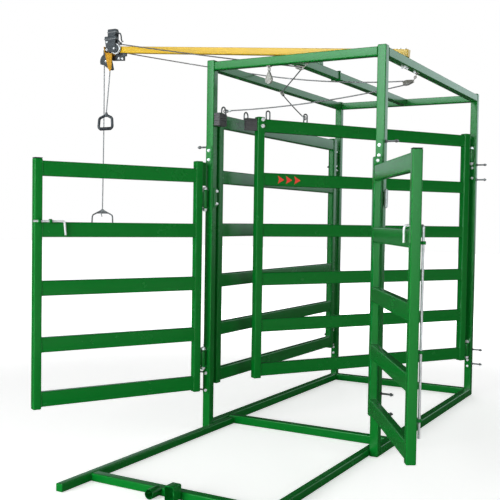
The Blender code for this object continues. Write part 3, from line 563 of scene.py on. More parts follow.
def resampled(points, step):
    """Points evenly spaced along a smooth curve through the given ones."""
    pts = [Vector(p) for p in points]
    fine = []
    for i in range(len(pts) - 1):
        before = pts[i - 1] if i > 0 else pts[i] * 2 - pts[i + 1]
        after = pts[i + 2] if i + 2 < len(pts) else pts[i + 1] * 2 - pts[i]
        here, there = pts[i], pts[i + 1]
        span = (there - here).length
        d0 = (there - before) * (span / max((here - before).length + span, 1e-6))
        d1 = (after - here) * (span / max((after - there).length + span, 1e-6))
        count = max(2, int(span / step * 2))
        for k in range(count):
            t = k / count
            fine.append(here * (2 * t ** 3 - 3 * t ** 2 + 1) + d0 * (t ** 3 - 2 * t ** 2 + t)
                        + there * (3 * t ** 2 - 2 * t ** 3) + d1 * (t ** 3 - t ** 2))
    fine.append(pts[-1])
    return evenly(fine, max(2, round(route_length(fine) / step))) + [fine[-1]]


def tube_mesh(path, radius, sides, strands=0, lay=0.06, depth=0.0, closed=False):
    """A tube along a path; with strands its skin is twisted like a laid rope."""
    bm = bmesh.new()
    side = None
    rings = []
    walked = 0.0
    count = len(path)
    for i, p in enumerate(path):
        if closed:
            ahead = (path[(i + 1) % count] - path[i - 1]).normalized()
        else:
            ahead = (path[min(i + 1, count - 1)] - path[max(i - 1, 0)]).normalized()
        if side is None:
            side = ahead.orthogonal().normalized()
        side = (side - ahead * side.dot(ahead)).normalized()
        over = ahead.cross(side)
        if i:
            walked += (p - path[i - 1]).length
        ring = []
        for k in range(sides):
            a = 2 * math.pi * k / sides
            r = radius
            if strands:
                r *= 1.0 - depth * (1.0 - abs(math.cos(strands / 2 * (a - 2 * math.pi * walked / lay))))
            ring.append(bm.verts.new(p + side * (r * math.cos(a)) + over * (r * math.sin(a))))
        rings.append(ring)
    if closed:
        rings.append(rings[0])
    for a, b in zip(rings, rings[1:]):
        for k in range(sides):
            bm.faces.new((a[k], a[(k + 1) % sides], b[(k + 1) % sides], b[k]))
    if not closed:
        bm.faces.new(rings[0][::-1])
        bm.faces.new(rings[-1])
    bmesh.ops.recalc_face_normals(bm, faces=bm.faces)
    mesh = bpy.data.meshes.new("tube")
    bm.to_mesh(mesh)
    bm.free()
    smooth_by_angle(mesh, 50)
    return mesh


def lathe(profile, start, along, sides=24, closed=False):
    """A turned shape; a closed profile gives a ring with a hole through it."""
    bm = bmesh.new()
    along = Vector(along).normalized()
    side = along.orthogonal().normalized()
    over = along.cross(side)
    rings = []
    for r, away in profile:
        centre = Vector(start) + along * away
        rings.append([bm.verts.new(centre + (side * math.cos(a) + over * math.sin(a)) * r)
                      for a in [2 * math.pi * k / sides for k in range(sides)]])
    if closed:
        rings.append(rings[0])
    for a, b in zip(rings, rings[1:]):
        for k in range(sides):
            bm.faces.new((a[k], a[(k + 1) % sides], b[(k + 1) % sides], b[k]))
    if not closed:
        bm.faces.new(rings[0][::-1])
        bm.faces.new(rings[-1])
    bmesh.ops.recalc_face_normals(bm, faces=bm.faces)
    mesh = bpy.data.meshes.new("lathe")
    bm.to_mesh(mesh)
    bm.free()
    smooth_by_angle(mesh, 40)
    return mesh


def outward(mesh):
    """Turns a mesh's faces outwards, after it was mirrored by its placing."""
    bm = bmesh.new()
    bm.from_mesh(mesh)
    bmesh.ops.recalc_face_normals(bm, faces=bm.faces)
    bm.to_mesh(mesh)
    bm.free()
    return mesh


def joined(meshes):
    """Several meshes as one."""
    bm = bmesh.new()
    for mesh in meshes:
        bm.from_mesh(mesh)
    out = bpy.data.meshes.new("joined")
    bm.to_mesh(out)
    bm.free()
    return out


def chamfered_box(low, high, round_r):
    """A box between two corners, with all its edges rounded."""
    bm = bmesh.new()
    bmesh.ops.create_cube(bm, size=1.0)
    size = Vector(high) - Vector(low)
    bmesh.ops.scale(bm, vec=size, verts=bm.verts)
    bmesh.ops.translate(bm, vec=(Vector(high) + Vector(low)) / 2, verts=bm.verts)
    bmesh.ops.bevel(bm, geom=bm.edges[:], offset=round_r, segments=2, affect="EDGES", profile=0.5)
    mesh = bpy.data.meshes.new("box")
    bm.to_mesh(mesh)
    bm.free()
    smooth_by_angle(mesh, 35)
    return mesh


# Bolts and welds by geometry nodes

# Sockets of a Random Value node: the low and high end of a plain number
RANDOM_LOW, RANDOM_HIGH = 2, 3


def geometry_tree(name, numbers):
    """A tree that takes points or lines and named sizes."""
    tree = bpy.data.node_groups.new(name, "GeometryNodeTree")
    tree.interface.new_socket(name="Geometry", in_out="INPUT", socket_type="NodeSocketGeometry")
    tree.interface.new_socket(name="Geometry", in_out="OUTPUT", socket_type="NodeSocketGeometry")
    for key, value in numbers.items():
        kind = "NodeSocketInt" if isinstance(value, int) else "NodeSocketFloat"
        made = tree.interface.new_socket(name=key, in_out="INPUT", socket_type=kind)
        made.default_value = value
    return tree, node(tree, "NodeGroupInput"), node(tree, "NodeGroupOutput")


def moved_up(tree, shape, height):
    mover = node(tree, "GeometryNodeTransform")
    join = node(tree, "ShaderNodeCombineXYZ")
    tree.links.new(height, join.inputs["Z"])
    tree.links.new(shape, mover.inputs["Geometry"])
    tree.links.new(join.outputs[0], mover.inputs["Translation"])
    return mover.outputs[0]


def ended(tree, instances, material, made):
    """The tree's end: instances made real, with their material set."""
    real = node(tree, "GeometryNodeRealizeInstances")
    tree.links.new(instances, real.inputs[0])
    paint = node(tree, "GeometryNodeSetMaterial")
    paint.inputs["Material"].default_value = material
    tree.links.new(real.outputs[0], paint.inputs["Geometry"])
    tree.links.new(paint.outputs[0], made.inputs["Geometry"])


# Shares of a hexagon's width across flats: its corner radius and its domed end's radius
FLATS_TO_CORNER, FLATS_TO_DOME = 0.577, 0.44


def bolt_tree(name, material):
    """Washer, hex nut or head and a domed bolt end on every point, along its facing attribute."""
    tree, given, made = geometry_tree(name, {
        "Across flats": 0.019, "Head height": 0.008, "Washer radius": 0.013, "Washer height": 0.002,
        "Shank radius": 0.005, "Tail": 0.003})
    sizes = given.outputs
    link = tree.links.new

    def half(value):
        return maths(tree, "MULTIPLY", value, 0.5)

    def cylinder(sides, radius, depth):
        bar = node(tree, "GeometryNodeMeshCylinder")
        bar.inputs["Vertices"].default_value = sides
        link(radius, bar.inputs["Radius"])
        link(depth, bar.inputs["Depth"])
        return bar.outputs["Mesh"]

    washer = moved_up(tree, cylinder(20, sizes["Washer radius"], sizes["Washer height"]),
                      half(sizes["Washer height"]))
    reach = maths(tree, "ADD", sizes["Washer height"], sizes["Head height"])
    corner = maths(tree, "MULTIPLY", sizes["Across flats"], FLATS_TO_CORNER)
    head = cylinder(6, corner, sizes["Head height"])
    head = moved_up(tree, head, maths(tree, "ADD", sizes["Washer height"], half(sizes["Head height"])))
    dome = cylinder(14, maths(tree, "MULTIPLY", sizes["Across flats"], FLATS_TO_DOME),
                    maths(tree, "MULTIPLY", sizes["Head height"], 0.2))
    dome = moved_up(tree, dome, reach)
    shank = cylinder(12, sizes["Shank radius"], sizes["Tail"])
    shank = moved_up(tree, shank, maths(tree, "ADD", reach, half(sizes["Tail"])))
    whole = node(tree, "GeometryNodeJoinGeometry")
    for shape in (washer, head, dome, shank):
        link(shape, whole.inputs[0])
    facing = node(tree, "GeometryNodeInputNamedAttribute", data_type="FLOAT_VECTOR")
    facing.inputs["Name"].default_value = "facing"
    aim = node(tree, "FunctionNodeAlignRotationToVector", axis="Z")
    link(facing.outputs[0], aim.inputs["Vector"])
    spin = node(tree, "FunctionNodeRandomValue", data_type="FLOAT")
    spin.inputs[RANDOM_HIGH].default_value = 6.28
    spin.inputs["Seed"].default_value = 5
    own = node(tree, "FunctionNodeAxisAngleToRotation")
    own.inputs["Axis"].default_value = (0.0, 0.0, 1.0)
    link(spin.outputs[1], own.inputs["Angle"])
    both = node(tree, "FunctionNodeRotateRotation", rotation_space="LOCAL")
    link(aim.outputs[0], both.inputs["Rotation"])
    link(own.outputs[0], both.inputs["Rotate By"])
    put = node(tree, "GeometryNodeInstanceOnPoints")
    link(given.outputs["Geometry"], put.inputs["Points"])
    link(whole.outputs[0], put.inputs["Instance"])
    link(both.outputs[0], put.inputs["Rotation"])
    ended(tree, put.outputs[0], material, made)
    return tree


def grown(name, tree, points, facings, edges, settings, material, body, angle=35):
    """Runs a geometry tree on points or lines and keeps its result as a plain mesh."""
    base = bpy.data.meshes.new("seed_points")
    base.from_pydata(points, edges, [])
    if facings:
        attribute = base.attributes.new("facing", "FLOAT_VECTOR", "POINT")
        flat = [c for f in facings for c in f]
        attribute.data.foreach_set("vector", flat)
    host = bpy.data.objects.new("seed_points", base)
    bpy.context.collection.objects.link(host)
    runner = host.modifiers.new("grow", "NODES")
    runner.node_group = tree
    for item in tree.interface.items_tree:
        if item.in_out == "INPUT" and item.name in settings:
            runner[item.identifier] = settings[item.name]
    bpy.context.view_layer.update()
    result = bpy.data.meshes.new_from_object(host.evaluated_get(bpy.context.evaluated_depsgraph_get()))
    bpy.data.objects.remove(host, do_unlink=True)
    smooth_by_angle(result, angle)
    return shown(name, result, material, body)


def weld_tree(name, material):
    """Overlapping beads along lines, like the ripples of a weld seam."""
    tree, given, made = geometry_tree(name, {"Pitch": 0.0045, "Bead": 0.0032})
    link = tree.links.new
    curve = node(tree, "GeometryNodeMeshToCurve")
    link(given.outputs["Geometry"], curve.inputs[0])
    even = node(tree, "GeometryNodeResampleCurve", mode="LENGTH")
    link(curve.outputs[0], even.inputs["Curve"])
    link(given.outputs["Pitch"], even.inputs["Length"])
    bead = node(tree, "GeometryNodeMeshIcoSphere")
    bead.inputs["Subdivisions"].default_value = 1
    link(given.outputs["Bead"], bead.inputs["Radius"])
    size = node(tree, "FunctionNodeRandomValue", data_type="FLOAT")
    size.inputs[RANDOM_LOW].default_value = 0.8
    size.inputs[RANDOM_HIGH].default_value = 1.15
    size.inputs["Seed"].default_value = 3
    put = node(tree, "GeometryNodeInstanceOnPoints")
    link(even.outputs[0], put.inputs["Points"])
    link(bead.outputs["Mesh"], put.inputs["Instance"])
    link(size.outputs[1], put.inputs["Scale"])
    ended(tree, put.outputs[0], material, made)
    return tree


# Places taken from the frame

POST, X_OUT, X_IN = 0.050, 0.570, 0.520
Y_FRONT, Y_BACK = -0.259, 1.721
RAIL_UNDER, RAIL_TOP = 2.190, 2.240
RAIL_H, RAIL_T = 0.082, 0.040
INNER_END, INNER_START, INNER_TOP = 1.815, 0.036, 1.933
LEFT_END, RIGHT_END, WING_START = 1.056, 0.966, 0.026
WING_UPRIGHT, INNER_UPRIGHT = 0.045, 0.050
SKID_IN, SKID_OUT, SKID_H = 0.4797, 0.5197, 0.040
CROSS_FRONT, CROSS_BACK = -1.403, -1.353
INNER_TOPS = (0.369, 0.654, 0.953, 1.266, 1.593, 1.933)
WING_TOPS = (0.342, 0.638, 0.945, 1.263, 1.592)
# Hinges: the height of the middle, and how tall the hinge is between its lugs
INNER_HINGES = ((1.787, 0.083), (0.351, 0.086))
WING_HINGES = ((1.411, 0.098), (0.445, 0.090))
LEFT_PIN, RIGHT_PIN = (-0.550, -0.294), (0.538, -0.294)
SIDE_PIN, CENTRE_PIN = (-0.545, 1.636), (0.545, 1.636)
LEFT_TURN, RIGHT_TURN, SIDE_TURN, CENTRE_TURN = 242.3, 301.5, 270.0, 237.80635822
BOOM_SLOPE, BOOM_MIDDLE = math.radians(5.461), 0.111
BOOM_LOW, BOOM_H = 2.2403, 0.044


def hung(pin, degrees):
    """A gate's own frame: first along it from its hinge pin, then to its side, then up."""
    return Matrix.Translation((*pin, 0.0)) @ Matrix.Rotation(math.radians(degrees), 4, "Z")


# Each gate: its own frame, its CAD node, where it starts and ends along itself, how wide its uprights
# are and the tops of its rails
GATES = {
    "left_wing": dict(place=hung(LEFT_PIN, LEFT_TURN), node="left_wing_gate", start=WING_START,
                      end=LEFT_END, upright=WING_UPRIGHT, tops=WING_TOPS),
    "right_wing": dict(place=hung(RIGHT_PIN, RIGHT_TURN), node="right_wing_gate", start=WING_START,
                       end=RIGHT_END, upright=WING_UPRIGHT, tops=WING_TOPS),
    "side_gate": dict(place=hung(SIDE_PIN, SIDE_TURN), node="side_gate", start=INNER_START,
                      end=INNER_END, upright=INNER_UPRIGHT, tops=INNER_TOPS),
    "centre_gate": dict(place=hung(CENTRE_PIN, CENTRE_TURN), node="centre_gate", start=INNER_START,
                        end=INNER_END, upright=INNER_UPRIGHT, tops=INNER_TOPS),
}
body_of = {n: b for b, nodes in frame["record"]["behaviour"]["bodies"].items() for n in nodes}


# Steel tubes and plates

def weighted(mesh, degrees):
    """Soft rounded corners between faces that stay flat."""
    smooth_by_angle(mesh, degrees)
    host = bpy.data.objects.new("weighting", mesh)
    bpy.context.collection.objects.link(host)
    helper = host.modifiers.new("weight", "WEIGHTED_NORMAL")
    helper.keep_sharp = True
    helper.mode = "FACE_AREA"
    bpy.context.view_layer.update()
    result = bpy.data.meshes.new_from_object(host.evaluated_get(bpy.context.evaluated_depsgraph_get()))
    bpy.data.objects.remove(host, do_unlink=True)
    return result


def copy_of_node(name):
    """A CAD node's shape with its double corners merged."""
    bm = bmesh.new()
    bm.from_mesh(node_objects[name].data)
    bmesh.ops.remove_doubles(bm, verts=bm.verts, dist=0.00001)
    return bm


def dressed(name, suffix, material, degrees=40.0, round_r=0.0):
    """A finished copy of a CAD node, with its sharp outer edges rounded where a radius is given."""
    bm = copy_of_node(name)
    if round_r:
        bmesh.ops.dissolve_limit(bm, angle_limit=0.01, verts=bm.verts, edges=bm.edges)
        sharp = [e for e in bm.edges if len(e.link_faces) == 2 and e.is_convex
                 and e.calc_face_angle(0.0) > math.radians(32)]
        bmesh.ops.bevel(bm, geom=sharp, offset=round_r, segments=2, affect="EDGES", profile=0.5,
                        clamp_overlap=True)
    mesh = bpy.data.meshes.new(name)
    bm.to_mesh(mesh)
    bm.free()
    piece = shown(name + suffix, weighted(mesh, degrees), material, body_of[name])
    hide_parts(name)
    return piece


STEEL = ("post_", "top_rail", "base_rail", "sill", "skid", "hitch_bracket", "hinge_bracket", "boom_saddle")
painted = [name for name in node_objects if name.startswith(STEEL)]
painted += [gate["node"] for gate in GATES.values()]
for name in sorted(painted):
    dressed(name, "_coated", green_paint)
dressed("boom", "_coated", yellow_paint)
# The head plate takes the yellow paint with painted shade
dressed("boom_head_plate", "_coated", head_plate_painted_shade, round_r=0.0008)
dressed("hitch_socket", "_turned", green_paint)
for name in ("left_slide_bolt", "right_drop_rod"):
    dressed(name, "_bar", zinc, degrees=50.0)


# Weld seams

GATE_BEAD, FRAME_BEAD = 0.0024, 0.0023
BEAD_PITCH = 1.55
SEAM_CORNER = 0.004
SEAM_LOWEST = 0.0024


def seam_round(points, place=None):
    """A closed seam through corner points, with its corners cut short."""
    out = []
    count = len(points)
    for i, p in enumerate(points):
        p = Vector(p)
        for q in (Vector(points[i - 1]), Vector(points[(i + 1) % count])):
            out.append(p + (q - p).normalized() * SEAM_CORNER)
    return [place @ p if place else p for p in out]


def seams_piece(name, loops, body, bead):
    """The weld seams along closed loops, as one piece on a body."""
    points, edges = [], []
    for loop in loops:
        first = len(points)
        points += [tuple(p) for p in loop]
        edges += [(first + i, first + (i + 1) % len(loop)) for i in range(len(loop))]
    grown(name, weld_seams, points, None, edges, {"Bead": bead, "Pitch": bead * BEAD_PITCH}, bead_green,
          body, angle=70)


weld_seams = weld_tree("weld_seams", bead_green)
for body, gate in GATES.items():
    loops = []
    half = RAIL_T / 2
    for top in gate["tops"]:
        for along in (gate["start"] + gate["upright"], gate["end"] - gate["upright"]):
            loops.append(seam_round([(along, -half, top - RAIL_H), (along, half, top - RAIL_H),
                                     (along, half, top), (along, -half, top)], gate["place"]))
    seams_piece(gate["node"] + "_welds", loops, body, GATE_BEAD)


def ring_x(x, y0, y1, z0, z1):
    """A seam round a tube's end that meets a face square to X."""
    return seam_round([(x, y0, z0), (x, y1, z0), (x, y1, z1), (x, y0, z1)])


def ring_y(y, x0, x1, z0, z1):
    """A seam round a tube's end that meets a face square to Y."""
    return seam_round([(x0, y, z0), (x1, y, z0), (x1, y, z1), (x0, y, z1)])


BACK_POST = Y_BACK - POST
frame_loops = []
for sign in (-1, 1):
    xa, xb = sorted((sign * X_IN, sign * X_OUT))
    frame_loops += [ring_x(sign * X_IN, Y_FRONT, Y_FRONT + POST, RAIL_UNDER, RAIL_TOP),
                    ring_x(sign * X_IN, BACK_POST, Y_BACK, RAIL_UNDER, RAIL_TOP),
                    ring_x(sign * X_IN, BACK_POST, Y_BACK, 0.0, POST),
                    ring_x(sign * X_IN, -POST / 2, POST / 2, 0.0, POST),
                    ring_y(Y_FRONT + POST, xa, xb, RAIL_UNDER, RAIL_TOP),
                    ring_y(BACK_POST, xa, xb, RAIL_UNDER, RAIL_TOP),
                    ring_y(Y_FRONT + POST, xa, xb, 0.0, POST),
                    ring_y(BACK_POST, xa, xb, 0.0, POST)]
    frame_loops.append(ring_y(-POST / 2, *sorted((sign * SKID_IN, sign * SKID_OUT)), 0.0, SKID_H))
    frame_loops.append(ring_x(sign * SKID_IN, CROSS_FRONT, CROSS_BACK, 0.0, SKID_H))
for y in (Y_FRONT + POST, BACK_POST):
    frame_loops.append(ring_y(y, -POST / 2, POST / 2, RAIL_UNDER, RAIL_TOP))
frame_loops = [[Vector((p.x, p.y, max(p.z, SEAM_LOWEST))) for p in loop] for loop in frame_loops]
seams_piece("frame_welds", frame_loops, "frame", FRAME_BEAD)


# Bolts, nuts and pins

PIN_NUT = dict(across_flats=0.024, head_height=0.011, washer_radius=0.0155, washer_height=0.0018,
               tail=0.005, shank_radius=0.0075)
PLATE_BOLT = dict(across_flats=0.014, head_height=0.0065, washer_radius=0.0094, washer_height=0.0014,
                  tail=0.003, shank_radius=0.0045)
TIE_BOLT = dict(across_flats=0.015, head_height=0.007, washer_radius=0.010, washer_height=0.0015,
                tail=0.064, shank_radius=0.0056)
TIE_NUT = dict(across_flats=0.0165, head_height=0.008, washer_radius=0.0092, washer_height=0.0012,
               tail=0.001, shank_radius=0.0055)
BOOM_BOLT = dict(across_flats=0.017, head_height=0.0075, washer_radius=0.0115, washer_height=0.0016,
                 tail=0.002, shank_radius=0.005)
GATE_BOLT = dict(across_flats=0.019, head_height=0.0075, washer_radius=0.0125, washer_height=0.0016,
                 tail=0.003, shank_radius=0.0055)
STRAP_BOLT = dict(across_flats=0.013, head_height=0.006, washer_radius=0.0085, washer_height=0.0014,
                  tail=0.002, shank_radius=0.0042)
HEAD_BOLT = dict(across_flats=0.011, head_height=0.005, washer_radius=0.0075, washer_height=0.0010,
                 tail=0.0015, shank_radius=0.0032)
hex_bolts = bolt_tree("hex_bolts", zinc)
dark_bolts = bolt_tree("dark_bolts", dark_steel)


def bolts_piece(name, places, body, tree=hex_bolts, finish=zinc, slot_name="zinc", **settings):
    """Bolts or nuts at places, each with the way that it faces, as one piece on a body."""
    values = {key.replace("_", " ").capitalize(): value for key, value in settings.items()}
    grown(name, tree, [tuple(p) for p, f in places], [tuple(f) for p, f in places], [], values, finish,
          body)


LUG_THICK = 0.008


def both_ends(pin, hinges):
    """Nuts on the two ends of each hinge pin, against the outer faces of the lugs."""
    out = []
    for centre, tall in hinges:
        for sign in (-1, 1):
            out.append(((*pin, centre + sign * (tall / 2 + LUG_THICK)), (0, 0, sign)))
    return out


pin_nuts = []
for pin, hinges in ((LEFT_PIN, WING_HINGES), (RIGHT_PIN, WING_HINGES), (SIDE_PIN, INNER_HINGES),
                    (CENTRE_PIN, INNER_HINGES)):
    pin_nuts += both_ends(pin, hinges)
bolts_piece("hinge_pin_nuts", pin_nuts, "frame", **PIN_NUT)

# Bolts of the hinge plates, of the plate on the left front post and of the gear under the right rail
POST_MIDDLE, PLATE_OUT = 0.545, 0.0063
plate_bolts = []
for x in (-POST_MIDDLE, POST_MIDDLE):
    plate_bolts += [((x, Y_FRONT - PLATE_OUT, z), (0, -1, 0)) for z in (1.706, 1.650, 0.350, 0.246)]
    plate_bolts += [((x, BACK_POST - PLATE_OUT, z), (0, -1, 0)) for z in (1.700, 1.625, 0.268, 0.222)]
plate_bolts += [((-0.515, -0.2168, z), (1, 0, 0)) for z in (1.462, 1.385)]
plate_bolts += [((x, BOOM_MIDDLE, RAIL_UNDER), (0, 0, -1)) for x in (0.531, 0.548)]
plate_bolts += [((POST_MIDDLE, y, RAIL_UNDER), (0, 0, -1)) for y in (0.159, 0.295)]
bolts_piece("frame_bolts", plate_bolts, "frame", **PLATE_BOLT)

# Long bolts that tie the next yard panels to the posts, each with a nut run partly up
TIE_NUT_OUT = 0.056
front_middle, back_middle = Y_FRONT + POST / 2, Y_BACK - POST / 2
tie_bolts = []
for side, y, heights in ((-1, front_middle, (1.729, 1.620, 0.350, 0.240)),
                         (1, front_middle, (1.728, 0.350, 0.244)),
                         (-1, back_middle, (1.730, 0.362, 0.260)),
                         (1, back_middle, (1.724, 1.614, 0.345, 0.238))):
    tie_bolts += [((side * X_OUT, y, z), (side, 0, 0)) for z in heights]
tie_nuts = [(Vector(p) + Vector(f) * TIE_NUT_OUT, f) for p, f in tie_bolts]
bolts_piece("panel_tie_bolts", tie_bolts, "frame", dark_bolts, dark_steel, "dark_steel", **TIE_BOLT)
bolts_piece("panel_tie_nuts", tie_nuts, "frame", dark_bolts, dark_steel, "dark_steel", **TIE_NUT)

# Bolts through the boom's foot, square to its slope
boom_up = (math.sin(BOOM_SLOPE), 0.0, math.cos(BOOM_SLOPE))


def boom_top(x):
    """The height of the boom's upper face."""
    return BOOM_LOW + math.tan(BOOM_SLOPE) * (X_OUT - x) + BOOM_H / math.cos(BOOM_SLOPE)


bolts_piece("boom_bolts", [((x, BOOM_MIDDLE, boom_top(x)), boom_up) for x in (0.512, 0.546)], "frame",
            **BOOM_BOLT)


def in_gate(body, along, side, z):
    """A place in a gate's own frame, in the world."""
    return GATES[body]["place"] @ Vector((along, side, z))


def gate_way(body, way):
    """A direction in a gate's own frame, in the world."""
    return GATES[body]["place"].to_3x3() @ Vector(way)


# The two bolts that hold the centre gate's rubber stop
stop_bolts = [(in_gate("centre_gate", 1.781, INNER_UPRIGHT / 2, z), gate_way("centre_gate", (0, 1, 0)))
              for z in (1.928, 1.887)]
bolts_piece("centre_gate_bolts", stop_bolts, "centre_gate", **GATE_BOLT)

# The wing gates' near uprights stand above the top rail, and a strap fills the gap to the hinge pin
SKIN = 0.0001
HEAD_LOW, HEAD_HIGH = 1.597, 1.637
STRAP_HALF, STRAP_IN = 0.0030, 0.002
for body in ("left_wing", "right_wing"):
    start, upright = GATES[body]["start"], GATES[body]["upright"]
    stub = chamfered_box((start - SKIN, -upright / 2 - SKIN, HEAD_LOW),
                         (start + upright + SKIN, upright / 2 + SKIN, HEAD_HIGH), 0.0045)
    upper = chamfered_box((-0.0065, -STRAP_HALF, 1.4905), (start + STRAP_IN, STRAP_HALF, 1.632), 0.0010)
    lower = chamfered_box((0.0165, -STRAP_HALF, 1.392), (start + STRAP_IN, STRAP_HALF, 1.4910), 0.0010)
    strap = joined([stub, upper, lower])
    strap.transform(GATES[body]["place"])
    shown(body + "_upright_head", weighted(strap, 40), green_paint, body)
bolts_piece("right_wing_head_bolt", [(in_gate("right_wing", WING_START + 0.0452, -0.003, 1.616),
                                      gate_way("right_wing", (1, 0, 0)))], "right_wing", **STRAP_BOLT)

# Plate on the inner face of the left front post, and the bright barrel beside the right one
plate = chamfered_box((-0.5198, -0.2430, 1.365), (-0.5150, -0.2092, 1.480), 0.0014)
shown("left_post_side_plate", weighted(plate, 40), green_paint, "frame")
BARREL_FOOT, UP = (0.5835, -0.2480, 1.372), (0, 0, 1)
barrel = [lathe([(0.0030, 0.0), (0.0095, 0.0), (0.0104, 0.0010), (0.0104, 0.0900), (0.0095, 0.0910),
                 (0.0030, 0.0910)], BARREL_FOOT, UP, 24)]
barrel.append(lathe([(0.0055, -0.006), (0.0062, -0.005), (0.0062, 0.096), (0.0055, 0.097)],
                    BARREL_FOOT, UP, 16))
barrel.append(chamfered_box((0.5702, -0.2460, 1.380), (0.5790, -0.2400, 1.455), 0.0010))
shown("right_post_latch_barrel", joined(barrel), zinc, "frame")


# Caps on the uprights' tops

CAP_UP, CAP_H, CAP_IN = 0.0121, 0.004, 0.0005
for body in ("left_wing", "right_wing"):
    gate = GATES[body]
    along, half = gate["end"] - gate["upright"] / 2, gate["upright"] / 2 - CAP_IN
    top = gate["tops"][-1] + CAP_UP
    cap = chamfered_box((along - half, -half, top), (along + half, half, top + CAP_H), 0.0015)
    cap.transform(gate["place"])
    shown(body + "_upright_cap", weighted(cap, 40), black_plastic, body)


# Arrowheads on the centre gate

ARROW_BACKS, ARROW_Z = (1.6632, 1.6034, 1.5400), 1.5515
ARROW_CORNERS = [(0.0, 0.0265), (-0.0085, 0.0), (0.0, -0.0265), (-0.0485, 0.0)]
ARROW_BENDS = (0.0016, 0.0016, 0.0, 0.0)
ARROW_THICK, EDGE_STEPS = 0.0005, 4


def arrow_outline():
    """Four edges from corner to corner; the two at the hollow back are a little bent."""
    out = []
    for i, bend in enumerate(ARROW_BENDS):
        (u0, v0), (u1, v1) = ARROW_CORNERS[i], ARROW_CORNERS[(i + 1) % len(ARROW_CORNERS)]
        for k in range(EDGE_STEPS):
            t = k / EDGE_STEPS
            out.append((u0 + (u1 - u0) * t - bend * math.sin(math.pi * t), v0 + (v1 - v0) * t))
    return out


def arrowhead(back):
    """A painted arrowhead that points to the hinge, on the face of the second rail from the top."""
    bm = bmesh.new()
    corners = [(back + u, RAIL_T / 2 + SKIN, ARROW_Z + v) for u, v in arrow_outline()]
    face = bm.faces.new([bm.verts.new(corner) for corner in corners])
    raised = bmesh.ops.extrude_face_region(bm, geom=[face])["geom"]
    bmesh.ops.translate(bm, vec=(0, ARROW_THICK, 0),
                        verts=[part for part in raised if isinstance(part, bmesh.types.BMVert)])
    bmesh.ops.recalc_face_normals(bm, faces=bm.faces)
    mesh = bpy.data.meshes.new("arrow")
    bm.to_mesh(mesh)
    bm.free()
    mesh.transform(GATES["centre_gate"]["place"])
    return mesh


shown("centre_gate_arrowheads", joined([arrowhead(back) for back in ARROW_BACKS]), arrow_red, "centre_gate")


# Rubber stops

RIB_SHARE = 0.72


def ribbed(low, high, ribs, groove, round_r):
    """A rubber block with level grooves all round."""
    low, high = Vector(low), Vector(high)
    tall = (high.z - low.z) / ribs
    inset = Vector((groove, groove, 0.001))
    meshes = [chamfered_box(low + inset, high - inset, 0.001)]
    for i in range(ribs):
        z0 = low.z + i * tall
        meshes.append(chamfered_box((low.x, low.y, z0), (high.x, high.y, z0 + tall * RIB_SHARE), round_r))
    return joined(meshes)


stop = ribbed((INNER_END + 0.0003, -0.016, 1.857), (INNER_END + 0.080, 0.016, 1.933), 6, 0.0025, 0.0022)
stop.transform(GATES["centre_gate"]["place"])
piece = shown("centre_gate_rubber", weighted(stop, 40), black_rubber, "centre_gate")
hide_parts("centre_gate_stop")
post_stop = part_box("side_post_stop")
stop = ribbed(post_stop[0], post_stop[1], 5, 0.0022, 0.0022)
piece = shown("side_post_rubber", weighted(stop, 40), black_rubber, "frame")
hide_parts("side_post_stop")


# Dark wire eyes on the gates

EYE_H, EYE_WIRE, EYE_FOOT = 0.058, 0.004, 0.004
CROWN_STEPS, LEG_STEPS = 16, 4


def eye_path(middle, width):
    """Up one leg of a wire eye, round its crown and down the other leg."""
    half = width / 2 - EYE_WIRE
    crown = INNER_TOP + EYE_H - EYE_WIRE - half
    heights = [INNER_TOP - EYE_FOOT]
    heights += [INNER_TOP + (crown - INNER_TOP) * k / LEG_STEPS for k in range(1, LEG_STEPS)]
    path = [Vector((middle - half, 0.0, z)) for z in heights]
    for k in range(CROWN_STEPS + 1):
        a = math.pi - math.pi * k / CROWN_STEPS
        path.append(Vector((middle + half * math.cos(a), 0.0, crown + half * math.sin(a))))
    return path + [Vector((middle + half, 0.0, z)) for z in reversed(heights)]


for body, width, backs in (("side_gate", 0.056, (0.080, 0.360)), ("centre_gate", 0.034, (0.084, 0.366))):
    place = GATES[body]["place"]
    eyes = [tube_mesh([place @ p for p in eye_path(INNER_END - back, width)], 0.0047, 14) for back in backs]
    shown(body + "_wire_eyes", joined(eyes), dark_steel, body)


# Pulleys under the top rails

def slab(points, low, high, frame_matrix):
    """A flat plate from its outline, with its edges just broken."""
    bm = bmesh.new()
    face = bm.faces.new([bm.verts.new((u, v, low)) for u, v in points])
    raised = bmesh.ops.extrude_face_region(bm, geom=[face])["geom"]
    bmesh.ops.translate(bm, vec=(0, 0, high - low),
                        verts=[part for part in raised if isinstance(part, bmesh.types.BMVert)])
    bmesh.ops.recalc_face_normals(bm, faces=bm.faces)
    edges = [e for e in bm.edges if e.calc_face_angle(0.0) > math.radians(60)]
    bmesh.ops.bevel(bm, geom=edges, offset=0.0005, segments=1, affect="EDGES", clamp_overlap=True)
    mesh = bpy.data.meshes.new("slab")
    bm.to_mesh(mesh)
    bm.free()
    mesh.transform(frame_matrix)
    smooth_by_angle(mesh, 35)
    return mesh


def teardrop(r, tip, reach, steps=14):
    """A pulley cheek: round about the axle, drawn in to a narrower round end."""
    lean = math.asin((r - tip) / reach)
    few = steps // 2
    wide = [math.pi / 2 - lean + (math.pi + 2 * lean) * k / steps for k in range(steps + 1)]
    narrow = [-math.pi / 2 + lean + (math.pi - 2 * lean) * k / few for k in range(few + 1)]
    points = [(r * math.cos(a), r * math.sin(a)) for a in wide]
    return points + [(reach + tip * math.cos(a), tip * math.sin(a)) for a in narrow]


